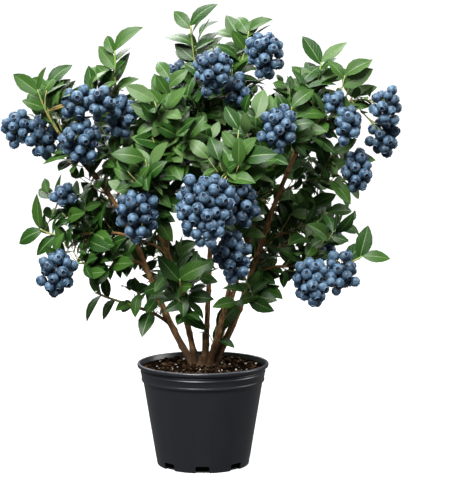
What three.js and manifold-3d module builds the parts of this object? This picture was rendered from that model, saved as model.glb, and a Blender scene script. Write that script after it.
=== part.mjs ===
// A fruiting blueberry bush in a round black nursery pot.
//
// Millimetres, +Z up. The origin is the centre of the pot's flat underside. The bush's
// fuller side, with its largest truss of fruit, faces -Y.
//
// Seven woody stems rise from one stool in the soil. Boughs leave the stems, and each
// bough, or the tip of a stem, carries one spray of foliage: a spine with side twigs,
// leaves set round them by a seeded rule, and hanging trusses of berries. Every spray
// is one closed solid that keeps to its own space.

import * as THREE from "three";
import { mergeVertices } from "three/addons/utils/BufferGeometryUtils.js";
import Module from "manifold-3d";

const wasm = await Module();
wasm.setup();
const { Manifold, Mesh } = wasm;

// ---- Driving dimensions ------------------------------------------------------------

const GAP = 0.3; // between neighbouring solids
const TURN = Math.PI * 2;
const GOLDEN = 2.39996; // radians from one leaf or twig to the next
const UP = new THREE.Vector3(0, 0, 1);
const HEART = new THREE.Vector3(0, 0, 330); // the middle of the bush, which the leaves face away from

const POT = {
  height: 156,
  rimRadius: 100,
  lipHeight: 6,
  bandRadius: 95, // the upright band under the lip
  bandHeight: 26, // from its lower step to the top of the pot
  wallRadius: 90.5, // just under the band
  baseRadius: 70,
  bevel: 2,
  wall: 2.4,
  floor: 2.6,
  sides: 32,
  slots: 8, // drainage slots round the foot, one of them at -Y
  slotWidth: 22,
  slotHeight: 9,
  slotDepth: 8,
};

const SOIL = { below: 7, mound: 4, flat: 34 }; // below the rim, and the mound round the stool

const STOOL = { radius: 22, neck: 13, height: 15, sides: 12 };
const STUB = { bearing: 280, foot: 13, top: 21, height: 50, radii: [5.4, 4.3], sides: 7, steps: 1 };

// Foot bearing and distance from the axis, tip bearing, reach and height, radii at foot
// and tip, and how far the stem leans at each end, in degrees from upright.
const STEMS = {
  left: { foot: [163, 17], tip: [190, 172, 455], radii: [5.3, 2.9], lean: [34, 40] },
  right: { foot: [345, 16], tip: [351, 141, 474], radii: [5.5, 3.0], lean: [30, 26] },
  front_left: { foot: [222, 15], tip: [233, 112, 375], radii: [4.8, 2.7], lean: [12, 34] },
  front_right: { foot: [305, 15], tip: [303, 108, 386], radii: [4.7, 2.6], lean: [28, 16] },
  back_left: { foot: [128, 17], tip: [132, 142, 415], radii: [4.6, 2.6], lean: [22, 32] },
  top: { foot: [75, 12], tip: [72, 46, 515], radii: [4.4, 2.5], lean: [12, 2] },
  back_right: { foot: [30, 17], tip: [44, 150, 430], radii: [4.6, 2.6], lean: [20, 32] },
};
const STEM = { sides: 7, steps: 7, pull: 0.36, footing: 0.06 }; // footing: the share fused into the stool

// The stem that a spray leaves, how far up it (1 is its tip), the share of the way out
// that is bare bough, where the furthest leaf reaches (bearing, reach, height), how far
// the side twigs spread, and the trusses of fruit (bearing, reach, height, berries).
const SPRAYS = [
  { name: "left_high", stem: "left", at: 1, bough: 0, tip: [180, 245, 575], spread: 48,
    fruit: [[186, 274, 513, 18], [188, 236, 497, 24], [175, 229, 550, 9]] },
  { name: "upper_left", stem: "left", at: 0.78, bough: 0.35, tip: [203, 264, 586], spread: 56,
    fruit: [[207, 201, 549, 14], [215, 176, 549, 14], [207, 197, 492, 28]] },
  { name: "shoot_left", stem: "left", at: 0.72, bough: 0.5, tip: [197, 135, 662], spread: 50,
    fruit: [[204, 129, 530, 20]] },
  { name: "shoot_top", stem: "top", at: 0.8, bough: 0.3, tip: [180, 21, 696], spread: 50,
    fruit: [[150, 50, 583, 14], [155, 72, 506, 12]] },
  { name: "top_centre", stem: "top", at: 1, bough: 0, tip: [23, 25, 645], spread: 46,
    fruit: [[285, 62, 596, 30], [338, 54, 564, 14]] },
  { name: "top_right", stem: "top", at: 0.9, bough: 0.3, tip: [6, 76, 684], spread: 44,
    fruit: [[342, 97, 620, 30], [29, 61, 528, 8]] },
  { name: "right_top", stem: "right", at: 0.84, bough: 0.35, tip: [3, 185, 641], spread: 58, fruit: [] },
  { name: "right_high", stem: "right", at: 1, bough: 0, tip: [358, 246, 600], spread: 42,
    fruit: [[348, 198, 550, 6], [344, 223, 518, 15], [354, 274, 545, 18], [0, 270, 498, 20]] },
  { name: "right_mid", stem: "right", at: 0.8, bough: 0.3, tip: [4, 245, 492], spread: 56,
    fruit: [[353, 232, 448, 24]] },
  { name: "centre_right", stem: "front_right", at: 1, bough: 0, tip: [321, 176, 571], spread: 56,
    fruit: [[308, 178, 515, 30]] },
  { name: "right_low", stem: "right", at: 0.42, bough: 0.35, tip: [350, 276, 350], spread: 62,
    fruit: [[323, 198, 294, 34], [341, 216, 302, 24]] },
  { name: "right_inner", stem: "right", at: 0.56, bough: 0.4, tip: [10, 220, 415], spread: 58, fruit: [] },
  { name: "inner_right", stem: "top", at: 0.5, bough: 0.3, tip: [335, 105, 480], spread: 56, fruit: [] },
  { name: "centre", stem: "front_right", at: 0.66, bough: 0.4, tip: [284, 190, 515], spread: 60,
    fruit: [[272, 205, 407, 70], [290, 170, 410, 22]] },
  { name: "centre_low", stem: "front_right", at: 0.4, bough: 0.4, tip: [308, 152, 310], spread: 40,
    fruit: [[285, 166, 336, 26]] },
  { name: "left_mid", stem: "front_left", at: 1, bough: 0, tip: [245, 176, 506], spread: 52,
    fruit: [[241, 184, 396, 32]] },
  { name: "left_side", stem: "left", at: 0.62, bough: 0.3, tip: [188, 280, 388], spread: 66,
    fruit: [[191, 208, 413, 9]] },
  { name: "left_low", stem: "left", at: 0.48, bough: 0.35, tip: [200, 262, 352], spread: 56,
    fruit: [[203, 229, 304, 30]] },
  { name: "lower_left", stem: "left", at: 0.18, bough: 0, tip: [187, 221, 322], spread: 34, fruit: [] },
  { name: "rosette", stem: "front_left", at: 0.3, bough: 0, tip: [254, 124, 335], spread: 40, fruit: [] },
  { name: "centre_top", stem: "front_left", at: 0.74, bough: 0.45, tip: [249, 140, 585], spread: 62, fruit: [] },
  { name: "sprig", stem: "front_right", at: 0.12, bough: 0, tip: [320, 30, 258], spread: 22, fruit: [] },
  { name: "back_left_high", stem: "back_left", at: 1, bough: 0, tip: [128, 215, 565], spread: 62,
    fruit: [[136, 212, 490, 24], [112, 190, 520, 18]] },
  { name: "back_left_low", stem: "back_left", at: 0.6, bough: 0.4, tip: [150, 258, 395], spread: 60,
    fruit: [[146, 226, 360, 26]] },
  { name: "back_high", stem: "top", at: 0.64, bough: 0.4, tip: [90, 165, 620], spread: 60,
    fruit: [[84, 168, 545, 28]] },
  { name: "back_mid", stem: "back_right", at: 0.6, bough: 0.4, tip: [84, 240, 450], spread: 60,
    fruit: [[88, 214, 400, 32]] },
  { name: "back_right_high", stem: "back_right", at: 1, bough: 0, tip: [42, 225, 575], spread: 62,
    fruit: [[36, 214, 500, 26], [60, 205, 495, 18]] },
  { name: "back_right_low", stem: "back_right", at: 0.5, bough: 0.4, tip: [35, 258, 380], spread: 60,
    fruit: [[30, 226, 340, 26]] },
  { name: "back_low", stem: "back_left", at: 0.36, bough: 0.4, tip: [105, 205, 325], spread: 52, fruit: [] },
];
const BOUGH = { sides: 5, steps: 3, thinner: 0.62, least: 1.5, pull: 0.34, upturn: 0.45 };
const SPINE = { sides: 4, steps: 3, tip: 1.2, leaves: 6, bare: 0.2, shortOfReach: 45 };
const TWIG = {
  sides: 3,
  steps: 1,
  every: 17, // along the spine
  slant: 50, // degrees from the spine
  lengths: [0.45, 0.95], // shares of the spray's spread
  shrink: 0.4, // how much of it is lost towards the tip of the spine
  lift: 0.35,
  thinner: 0.55,
  tip: 0.9,
  bare: 0.35,
  leaves: [2, 3], // a twig with fewer isn't grown
};
const LEAF = {
  length: 56,
  width: 27,
  keel: 2.2, // depth of the midrib under the blade
  sizes: [0.85, 1.15],
  every: 10, // offered along a twig
  slant: 52, // degrees from the twig
  endSlant: 12, // of the leaf at its tip
  sunk: 0.3, // root past the twig's axis
  widest: 0.45, // share of the length
  droop: 0.1,
  skyward: 0.6,
};
const BERRY = { radius: 8.2, cover: 3.2 }; // a berry, and how many cover a shell of one radius squared
const TRUSS = {
  many: 22, // berries from which a truss has 32 bumps instead of 12
  dent: 0.26,
  shallowDent: 0.16,
  stalk: 1.1,
  bend: 6,
  hangsFrom: 12, // places tried along the spine
  keepOff: 0.9, // of its radius
};
const SPACE = { margin: 2, clear: 0.4, guides: [0.15, 0.4, 0.6, 0.8, 1] };

const LOOKS = {
  pot: { color: 0x26282b, roughness: 0.45, metalness: 0 },
  soil: { color: 0x2b1c13, roughness: 0.95, metalness: 0 },
  bark: { color: 0x6b4630, roughness: 0.85, metalness: 0 },
  foliage: { color: 0x3f6b2e, roughness: 0.55, metalness: 0 },
};

// ---- Small helpers -----------------------------------------------------------------

const radians = (degrees) => (degrees * Math.PI) / 180;
const between = ([low, high], share) => low + (high - low) * share;

// A point from its bearing in degrees (0 is +X, 90 is +Y), its reach and its height.
function around(bearing, reach, height = 0) {
  const turn = radians(bearing);
  return new THREE.Vector3(reach * Math.cos(turn), reach * Math.sin(turn), height);
}

// Even random numbers from 0 to 1, the same on every run.
function seeded(seed) {
  let state = (seed * 7919 + 17) >>> 0;
  return () => {
    state = (Math.imul(state, 1664525) + 1013904223) >>> 0;
    return state / 2 ** 32;
  };
}

// A unit vector square to axis, at a turn round it.
function radial(axis, turn) {
  const tilted = new THREE.Vector3(0.12, 0.07, 1);
  const side = new THREE.Vector3().crossVectors(axis, tilted).normalize();
  const over = new THREE.Vector3().crossVectors(side, axis);
  return side.multiplyScalar(Math.cos(turn)).addScaledVector(over, Math.sin(turn));
}

// The direction that leaves axis at a slant in degrees, at a turn round it.
function slanted(axis, slant, turn) {
  const away = radial(axis, turn).multiplyScalar(Math.sin(radians(slant)));
  return away.addScaledVector(axis, Math.cos(radians(slant)));
}

// A closed three.js geometry as a manifold-3d solid.
function solidOf(geometry) {
  const bare = new THREE.BufferGeometry().setAttribute("position", geometry.getAttribute("position"));
  bare.setIndex(geometry.index);
  const merged = mergeVertices(bare, 1e-3);
  const vertProperties = merged.getAttribute("position").array;
  const triVerts = new Uint32Array(merged.index.array);
  return new Manifold(new Mesh({ numProp: 3, vertProperties, triVerts }));
}

function geometryOf(solid) {
  const { vertProperties, triVerts } = solid.getMesh();
  const geometry = new THREE.BufferGeometry();
  geometry.setAttribute("position", new THREE.BufferAttribute(vertProperties, 3));
  geometry.setIndex(new THREE.BufferAttribute(triVerts, 1));
  return geometry;
}

// What is left of a solid once its loose scraps are dropped.
function largest(solid) {
  return solid.decompose().sort((a, b) => b.volume() - a.volume())[0];
}

function touches(piece, solids) {
  const { min, max } = piece.boundingBox();
  return solids.some((solid) => {
    const box = solid.boundingBox();
    if ([0, 1, 2].some((k) => box.min[k] > max[k] || box.max[k] < min[k])) return false;
    return !piece.intersect(solid).isEmpty();
  });
}

// ---- The pot and its soil ----------------------------------------------------------

const soilTop = POT.height - SOIL.below;
const ground = soilTop + SOIL.mound + GAP; // the flat cut under the stool

function innerRadius(height) {
  const taper = (POT.wallRadius - POT.baseRadius) / (POT.height - POT.bandHeight - 2 * POT.bevel);
  return POT.baseRadius - POT.wall + taper * (height - POT.floor);
}

function lathe(profile) {
  const points = profile.map(([radius, height]) => new THREE.Vector2(radius, height));
  return solidOf(new THREE.LatheGeometry(points, POT.sides).rotateX(Math.PI / 2));
}

function potSolid() {
  const { height, rimRadius, wallRadius, baseRadius, bandRadius, bevel, floor } = POT;
  const lip = height - POT.lipHeight;
  const step = height - POT.bandHeight;
  const shell = lathe([
    [0, 0], [baseRadius - bevel, 0], [baseRadius, bevel],
    [wallRadius, step - bevel], [bandRadius - bevel, step], [bandRadius, lip - POT.lipHeight],
    [bandRadius + bevel, lip], [rimRadius, lip + bevel / 2], [rimRadius, height - bevel],
    [rimRadius - bevel, height], [innerRadius(height) + bevel, height],
    [innerRadius(height - bevel), height - bevel],
    [innerRadius(floor), floor], [0, floor],
  ]);
  const slots = Array.from({ length: POT.slots }, (_, i) => {
    const slot = new THREE.BoxGeometry(2 * POT.slotDepth, POT.slotWidth, 2 * POT.slotHeight);
    slot.translate(baseRadius + bevel, 0, 0).rotateZ((i * TURN) / POT.slots);
    return solidOf(slot);
  });
  return shell.subtract(Manifold.union(slots));
}

function soilSolid() {
  const bottom = POT.floor + GAP;
  return lathe([
    [0, bottom], [innerRadius(bottom) - GAP, bottom], [innerRadius(soilTop) - GAP, soilTop],
    [SOIL.flat, soilTop + SOIL.mound], [0, soilTop + SOIL.mound],
  ]);
}

// ---- Limbs -------------------------------------------------------------------------

// A limb is a curve with a radius at its foot and at its tip.
function radiusAt(limb, t) {
  return limb.foot + (limb.tip - limb.foot) * t ** 0.8;
}

// The point on a limb's axis as it is built, with straight lines from ring to ring.
function onAxis({ curve, steps, from = 0 }, t) {
  const rings = ((t - from) / (1 - from)) * steps;
  const below = THREE.MathUtils.clamp(Math.floor(rings), 0, steps - 1);
  const [low, high] = [below, below + 1].map((ring) => curve.getPoint(between([from, 1], ring / steps)));
  return low.lerp(high, rings - below);
}

// A cylinder bent along a limb's curve, from one share of its length to another.
function bent(limb, { from = 0, to = 1, swell = 0 } = {}) {
  const tube = new THREE.CylinderGeometry(1, 1, 1, limb.sides, limb.steps);
  const place = tube.getAttribute("position");
  const chord = limb.curve.getPoint(1).sub(limb.curve.getPoint(0)).normalize();
  const across = radial(chord, 0);
  for (let i = 0; i < place.count; i++) {
    const t = from + (to - from) * (place.getY(i) + 0.5);
    const thick = radiusAt(limb, t) + swell;
    const heading = limb.curve.getTangent(t);
    const back = new THREE.Vector3().crossVectors(across, heading).normalize();
    const side = new THREE.Vector3().crossVectors(heading, back);
    const point = limb.curve.getPoint(t);
    point.addScaledVector(side, place.getX(i) * thick);
    point.addScaledVector(back, place.getZ(i) * thick);
    place.setXYZ(i, point.x, point.y, point.z);
  }
  return solidOf(tube);
}

function arc(start, leaving, arriving, end, share) {
  const pull = start.distanceTo(end) * share;
  const out = start.clone().addScaledVector(leaving, pull);
  const back = end.clone().addScaledVector(arriving, -pull);
  return new THREE.CubicBezierCurve3(start, out, back, end);
}

function stemLimb({ foot, tip, radii, lean }) {
  const [start, end] = [around(...foot, ground), around(...tip)];
  const leaning = (bearing, angle) => around(bearing, Math.sin(radians(angle)), Math.cos(radians(angle)));
  const curve = arc(start, leaning(foot[0], lean[0]), leaning(tip[0], lean[1]), end, STEM.pull);
  const span = { from: STEM.footing + GAP / curve.getLength() };
  return { ...STEM, curve, foot: radii[0], tip: radii[1], span };
}

// The one curve of a bough and the spine that grows on from it. It stops short of the
// spray's reach by most of a leaf.
function branchLimb(spray, stem) {
  const atTip = spray.at === 1;
  const start = stem.curve.getPoint(spray.at);
  const heading = stem.curve.getTangent(spray.at);
  const reach = around(...spray.tip);
  const arriving = reach.clone().sub(start).normalize().addScaledVector(UP, BOUGH.upturn).normalize();
  const end = reach.addScaledVector(arriving, -SPINE.shortOfReach);
  const leaving = atTip ? heading : end.clone().sub(start).normalize().add(heading).normalize();
  if (atTip) start.addScaledVector(heading, GAP);
  const foot = atTip ? stem.tip : Math.max(BOUGH.least, radiusAt(stem, spray.at) * BOUGH.thinner);
  return { curve: arc(start, leaving, arriving, end, BOUGH.pull), foot, tip: SPINE.tip };
}

// The stool: a flared foot, the first stretch of every stem, and a stem cut back long ago.
function stoolSolid(stems) {
  const foot = new THREE.CylinderGeometry(STOOL.neck, STOOL.radius, STOOL.height, STOOL.sides);
  foot.rotateX(Math.PI / 2).translate(0, 0, ground + STOOL.height / 2);
  const cut = around(STUB.bearing, STUB.top, ground + STUB.height);
  const middle = new THREE.LineCurve3(around(STUB.bearing, STUB.foot, ground), cut);
  const stub = { ...STUB, curve: middle, foot: STUB.radii[0], tip: STUB.radii[1] };
  const footings = stems.map((stem) => bent({ ...stem, steps: 1 }, { to: STEM.footing }));
  const below = new THREE.BoxGeometry(POT.rimRadius, POT.rimRadius, ground).translate(0, 0, ground / 2);
  return largest(Manifold.union([solidOf(foot), bent(stub), ...footings]).subtract(solidOf(below)));
}

// ---- Leaves ------------------------------------------------------------------------

// A leaf is a six-faced blade: root, tip, two edges and a keel under its midrib.
function leafSolid({ root, heading, facing, length, width }, swell = 0, start = -LEAF.sunk) {
  const blade = new THREE.SphereGeometry(1, 3, 2);
  const place = blade.getAttribute("position");
  const side = new THREE.Vector3().crossVectors(facing, heading).normalize();
  const face = new THREE.Vector3().crossVectors(heading, side);
  for (let i = 0; i < place.count; i++) {
    const [x, y, z] = [place.getX(i), place.getY(i), place.getZ(i)].map(Math.round);
    const along = [start, length * LEAF.widest, length + swell][y + 1];
    const lift = y > 0 ? -length * LEAF.droop : x < 0 ? -LEAF.keel - swell : swell;
    const point = root.clone().addScaledVector(heading, along);
    point.addScaledVector(side, z * (width / 2 + swell)).addScaledVector(face, lift);
    place.setXYZ(i, point.x, point.y, point.z);
  }
  return solidOf(blade);
}

// The points of a leaf that are tested against the spray's space.
function leafPoints({ root, heading, facing, length, width }) {
  const side = new THREE.Vector3().crossVectors(facing, heading).setLength(width / 2);
  const middle = root.clone().addScaledVector(heading, length * LEAF.widest);
  return [root.clone().addScaledVector(heading, length), middle.clone().add(side), middle.clone().sub(side)];
}

// The leaves that a twig is offered, from its tip down.
function leavesAlong(twig, random) {
  const { curve, length, bare } = twig;
  const count = Math.max(2, Math.round((length * (1 - bare)) / LEAF.every));
  const first = random() * TURN;
  return Array.from({ length: count + 1 }, (_, i) => {
    const t = i === 0 ? 1 : 1 - ((1 - bare) * (i - 0.5)) / count;
    const root = onAxis(twig, t);
    const heading = slanted(curve.getTangent(t), i === 0 ? LEAF.endSlant : LEAF.slant, first + i * GOLDEN);
    const facing = root.clone().sub(HEART).normalize().addScaledVector(UP, LEAF.skyward);
    const size = between(LEAF.sizes, random());
    return { root, heading, facing, length: LEAF.length * size, width: LEAF.width * size };
  });
}

// ---- Fruit -------------------------------------------------------------------------

// A truss hangs from the nearest place on the spine, and its size follows its berries.
function trussOf([bearing, reach, height, berries], spine) {
  const centre = around(bearing, reach, height);
  const shell = BERRY.radius * Math.sqrt(berries / BERRY.cover);
  const top = centre.clone().addScaledVector(UP, shell);
  const places = Array.from({ length: TRUSS.hangsFrom }, (_, i) =>
    onAxis(spine, between([spine.from, 1], (i + 1) / (TRUSS.hangsFrom + 1))));
  const start = places.reduce((best, place) => (place.distanceTo(top) < best.distanceTo(top) ? place : best));
  const over = start.clone().lerp(top, 0.6).addScaledVector(UP, TRUSS.bend);
  const hanging = new THREE.QuadraticBezierCurve3(start, over, centre);
  const stalk = { curve: hanging, foot: TRUSS.stalk, tip: TRUSS.stalk, sides: 3, steps: 1 };
  return { centre, berries, stalk, outer: shell + BERRY.radius };
}

// The berries of a truss stand out of one closed shape: an icosahedron whose corners are
// pushed out as berries, and in a truss of many its face centres too.
function trussSolids({ centre, berries, stalk, outer }) {
  const many = berries >= TRUSS.many;
  const bunch = new THREE.IcosahedronGeometry(1, many ? 2 : 1);
  const corners = new THREE.IcosahedronGeometry(1).getAttribute("position");
  const dent = many ? TRUSS.shallowDent : TRUSS.dent;
  const place = bunch.getAttribute("position");
  for (let i = 0; i < place.count; i++) {
    const point = new THREE.Vector3().fromBufferAttribute(place, i).normalize();
    const near = Array.from({ length: corners.count }, (_, k) =>
      new THREE.Vector3().fromBufferAttribute(corners, k).dot(point));
    const corner = Math.max(...near) > 0.99;
    const faceCentre = many && Math.max(...near) < 0.81;
    point.multiplyScalar(outer * (corner || faceCentre ? 1 : 1 - dent)).add(centre);
    place.setXYZ(i, point.x, point.y, point.z);
  }
  return [bent(stalk), solidOf(bunch)];
}

// ---- Sprays ------------------------------------------------------------------------

// The skeleton of a spray: its spine, the side twigs set round it, and its trusses.
function skeletonOf(spray, limb, seed) {
  const random = seeded(seed);
  const whole = limb.curve.getLength();
  const from = spray.bough ? spray.bough + GAP / whole : 0;
  const length = whole * (1 - from);
  const spine = { ...limb, ...SPINE, from, length, bare: between([from, 1], SPINE.bare) };
  const count = Math.max(3, Math.round(length / TWIG.every));
  const twigs = Array.from({ length: count }, (_, i) => {
    const along = (i + 1) / (count + 1);
    const t = between([from, 1], along);
    const root = onAxis(spine, t);
    const heading = slanted(limb.curve.getTangent(t), TWIG.slant, i * GOLDEN + random() + seed);
    const reach = spray.spread * (1 - TWIG.shrink * along) * between(TWIG.lengths, random());
    const bend = root.clone().addScaledVector(heading, reach / 2);
    const tip = root.clone().addScaledVector(heading, reach).addScaledVector(UP, reach * TWIG.lift);
    const curve = new THREE.QuadraticBezierCurve3(root, bend, tip);
    return { ...TWIG, curve, foot: radiusAt(limb, t) * TWIG.thinner, length: reach };
  });
  const trusses = spray.fruit.map((row) => trussOf(row, spine));
  const guides = SPACE.guides.map((share) => limb.curve.getPoint(between([from, 1], share)));
  guides.push(...trusses.map((truss) => truss.centre));
  return { spine, twigs, trusses, guides, random };
}

function distanceTo(skeleton, point) {
  return Math.min(...skeleton.guides.map((guide) => guide.distanceTo(point)));
}

// A point is in a spray's space if it is nearer to that spray than to any other.
function inSpace(skeleton, skeletons, point) {
  const own = distanceTo(skeleton, point) + SPACE.margin;
  return skeletons.every((other) => other === skeleton || distanceTo(other, point) > own);
}

// Leaves and twigs stay out of the fruit, and off the side of it that faces outwards.
function offTheFruit({ trusses }, point) {
  return trusses.every(({ centre, outer }) => {
    const from = point.clone().sub(centre);
    const outward = new THREE.Vector3(centre.x, centre.y, 0).normalize();
    const ahead = THREE.MathUtils.clamp(from.dot(outward), 0, outer);
    return from.addScaledVector(outward, -ahead).length() > outer * TRUSS.keepOff;
  });
}

// One spray: its spine, its trusses, and the twigs and leaves that keep to its space and
// clear of the solids round it.
function spraySolid(skeleton, skeletons, neighbours) {
  const { spine, twigs, trusses, random } = skeleton;
  const pieces = [bent(spine, { from: spine.from }), ...trusses.flatMap(trussSolids)];
  const free = (points) =>
    points.every((point) => inSpace(skeleton, skeletons, point) && offTheFruit(skeleton, point));
  const grow = (twig, most) => {
    const kept = [];
    for (const leaf of leavesAlong(twig, random)) {
      if (kept.length === most) break;
      if (!free(leafPoints(leaf)) || touches(leafSolid(leaf, SPACE.clear), neighbours)) continue;
      const pastItsRoot = leafSolid(leaf, SPACE.clear / 2, LEAF.length / 5);
      if (!touches(pastItsRoot, [...pieces, ...kept])) kept.push(leafSolid(leaf));
    }
    return kept;
  };
  pieces.push(...grow(spine, SPINE.leaves));
  for (const twig of twigs) {
    if (!free([0.5, 1].map((t) => twig.curve.getPoint(t)))) continue;
    if (touches(bent(twig, { from: 0.2, swell: SPACE.clear }), neighbours)) continue;
    const leaves = grow(twig, TWIG.leaves[1]);
    if (leaves.length >= TWIG.leaves[0]) pieces.push(bent(twig), ...leaves);
  }
  return Manifold.union(pieces);
}

// ---- The bush ----------------------------------------------------------------------

function buildBush() {
  const bush = new THREE.Group();
  const add = (name, solid, look) => {
    const material = new THREE.MeshStandardMaterial({ ...LOOKS[look], flatShading: true });
    const mesh = new THREE.Mesh(geometryOf(solid), material);
    mesh.name = name;
    bush.add(mesh);
    return solid;
  };

  const solids = [add("pot", potSolid(), "pot"), add("soil", soilSolid(), "soil")];
  const stems = Object.fromEntries(Object.entries(STEMS).map(([name, row]) => [name, stemLimb(row)]));
  solids.push(add("stool", stoolSolid(Object.values(stems)), "bark"));
  const clearOf = {};
  for (const [name, stem] of Object.entries(stems)) {
    solids.push(add(`stem_${name}`, bent(stem, stem.span), "bark"));
    clearOf[name] = bent(stem, { ...stem.span, swell: SPACE.clear });
  }

  const limbs = SPRAYS.map((spray) => branchLimb(spray, stems[spray.stem]));
  SPRAYS.forEach(({ name, stem, bough }, i) => {
    if (!bough) return;
    const limb = bent({ ...limbs[i], sides: BOUGH.sides, steps: BOUGH.steps }, { to: bough });
    solids.push(add(`bough_${name}`, largest(limb.subtract(clearOf[stem])), "bark"));
  });

  const skeletons = SPRAYS.map((spray, i) => skeletonOf(spray, limbs[i], i + 1));
  SPRAYS.forEach(({ name, stem, at, bough }, i) => {
    const spray = spraySolid(skeletons[i], skeletons, solids);
    const fromStem = !bough && at < 1;
    solids.push(add(`spray_${name}`, largest(fromStem ? spray.subtract(clearOf[stem]) : spray), "foliage"));
  });
  return bush;
}

export default buildBush();
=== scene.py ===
"""A fruiting blueberry bush in a round black nursery pot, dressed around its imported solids."""

import math
from collections import namedtuple
from functools import lru_cache

import bmesh
import bpy
import numpy as np
from bpy.props import FloatProperty, FloatVectorProperty, IntProperty, PointerProperty
from mathutils import Matrix, Vector


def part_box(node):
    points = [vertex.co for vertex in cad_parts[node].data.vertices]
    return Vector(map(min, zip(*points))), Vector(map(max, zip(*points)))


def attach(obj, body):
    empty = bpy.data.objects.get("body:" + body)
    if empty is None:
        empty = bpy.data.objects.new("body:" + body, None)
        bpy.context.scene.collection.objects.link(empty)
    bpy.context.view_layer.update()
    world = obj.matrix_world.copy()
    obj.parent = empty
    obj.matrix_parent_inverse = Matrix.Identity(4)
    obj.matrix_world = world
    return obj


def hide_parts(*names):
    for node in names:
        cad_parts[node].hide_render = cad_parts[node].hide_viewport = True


bl_info = {
    "name": "Potted blueberry bush",
    "version": (1, 0, 0),
    "blender": (4, 5, 0),
    "location": "View3D > Sidebar > Bush",
    "description": "Grows bark, twigs, leaves and berries on the frame of a blueberry bush in its pot",
    "category": "Add Mesh",
}

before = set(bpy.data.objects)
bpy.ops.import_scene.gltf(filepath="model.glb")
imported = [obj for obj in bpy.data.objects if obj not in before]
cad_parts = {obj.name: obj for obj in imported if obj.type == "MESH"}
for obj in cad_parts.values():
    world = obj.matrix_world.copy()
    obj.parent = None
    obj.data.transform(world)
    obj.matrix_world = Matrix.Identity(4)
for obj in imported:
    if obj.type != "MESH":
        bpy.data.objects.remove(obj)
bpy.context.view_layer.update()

MM = 0.001  # the rule that the bush grows by is written in millimetres
FULL_TURN = 2 * math.pi
GOLDEN = 2.39996  # radians from one leaf or twig to the next
UP = np.array((0.0, 0.0, 1.0))
TILTED_UP = (0.12, 0.07, 1.0)  # no limb runs exactly along it
HEART = np.array((0.0, 0.0, 330.0))  # the middle of the bush, which the leaves face away from

POT_LOW, POT_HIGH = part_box("pot")
SOIL_LOW, SOIL_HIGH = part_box("soil")
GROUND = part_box("stool")[0].z / MM  # the flat cut under the stool

# ---- The bush's plan, as its solids have it ----------------------------------------

Stem = namedtuple("Stem", "foot tip radii lean")
Spray = namedtuple("Spray", "name stem at bough tip spread fruit")

# Foot bearing and distance from the axis, tip bearing, reach and height, radii at foot
# and tip, and how far the stem leans at each end, in degrees from upright.
STEMS = {
    "left": Stem((163, 17), (190, 172, 455), (5.3, 2.9), (34, 40)),
    "right": Stem((345, 16), (351, 141, 474), (5.5, 3.0), (30, 26)),
    "front_left": Stem((222, 15), (233, 112, 375), (4.8, 2.7), (12, 34)),
    "front_right": Stem((305, 15), (303, 108, 386), (4.7, 2.6), (28, 16)),
    "back_left": Stem((128, 17), (132, 142, 415), (4.6, 2.6), (22, 32)),
    "top": Stem((75, 12), (72, 46, 515), (4.4, 2.5), (12, 2)),
    "back_right": Stem((30, 17), (44, 150, 430), (4.6, 2.6), (20, 32)),
}

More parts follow.
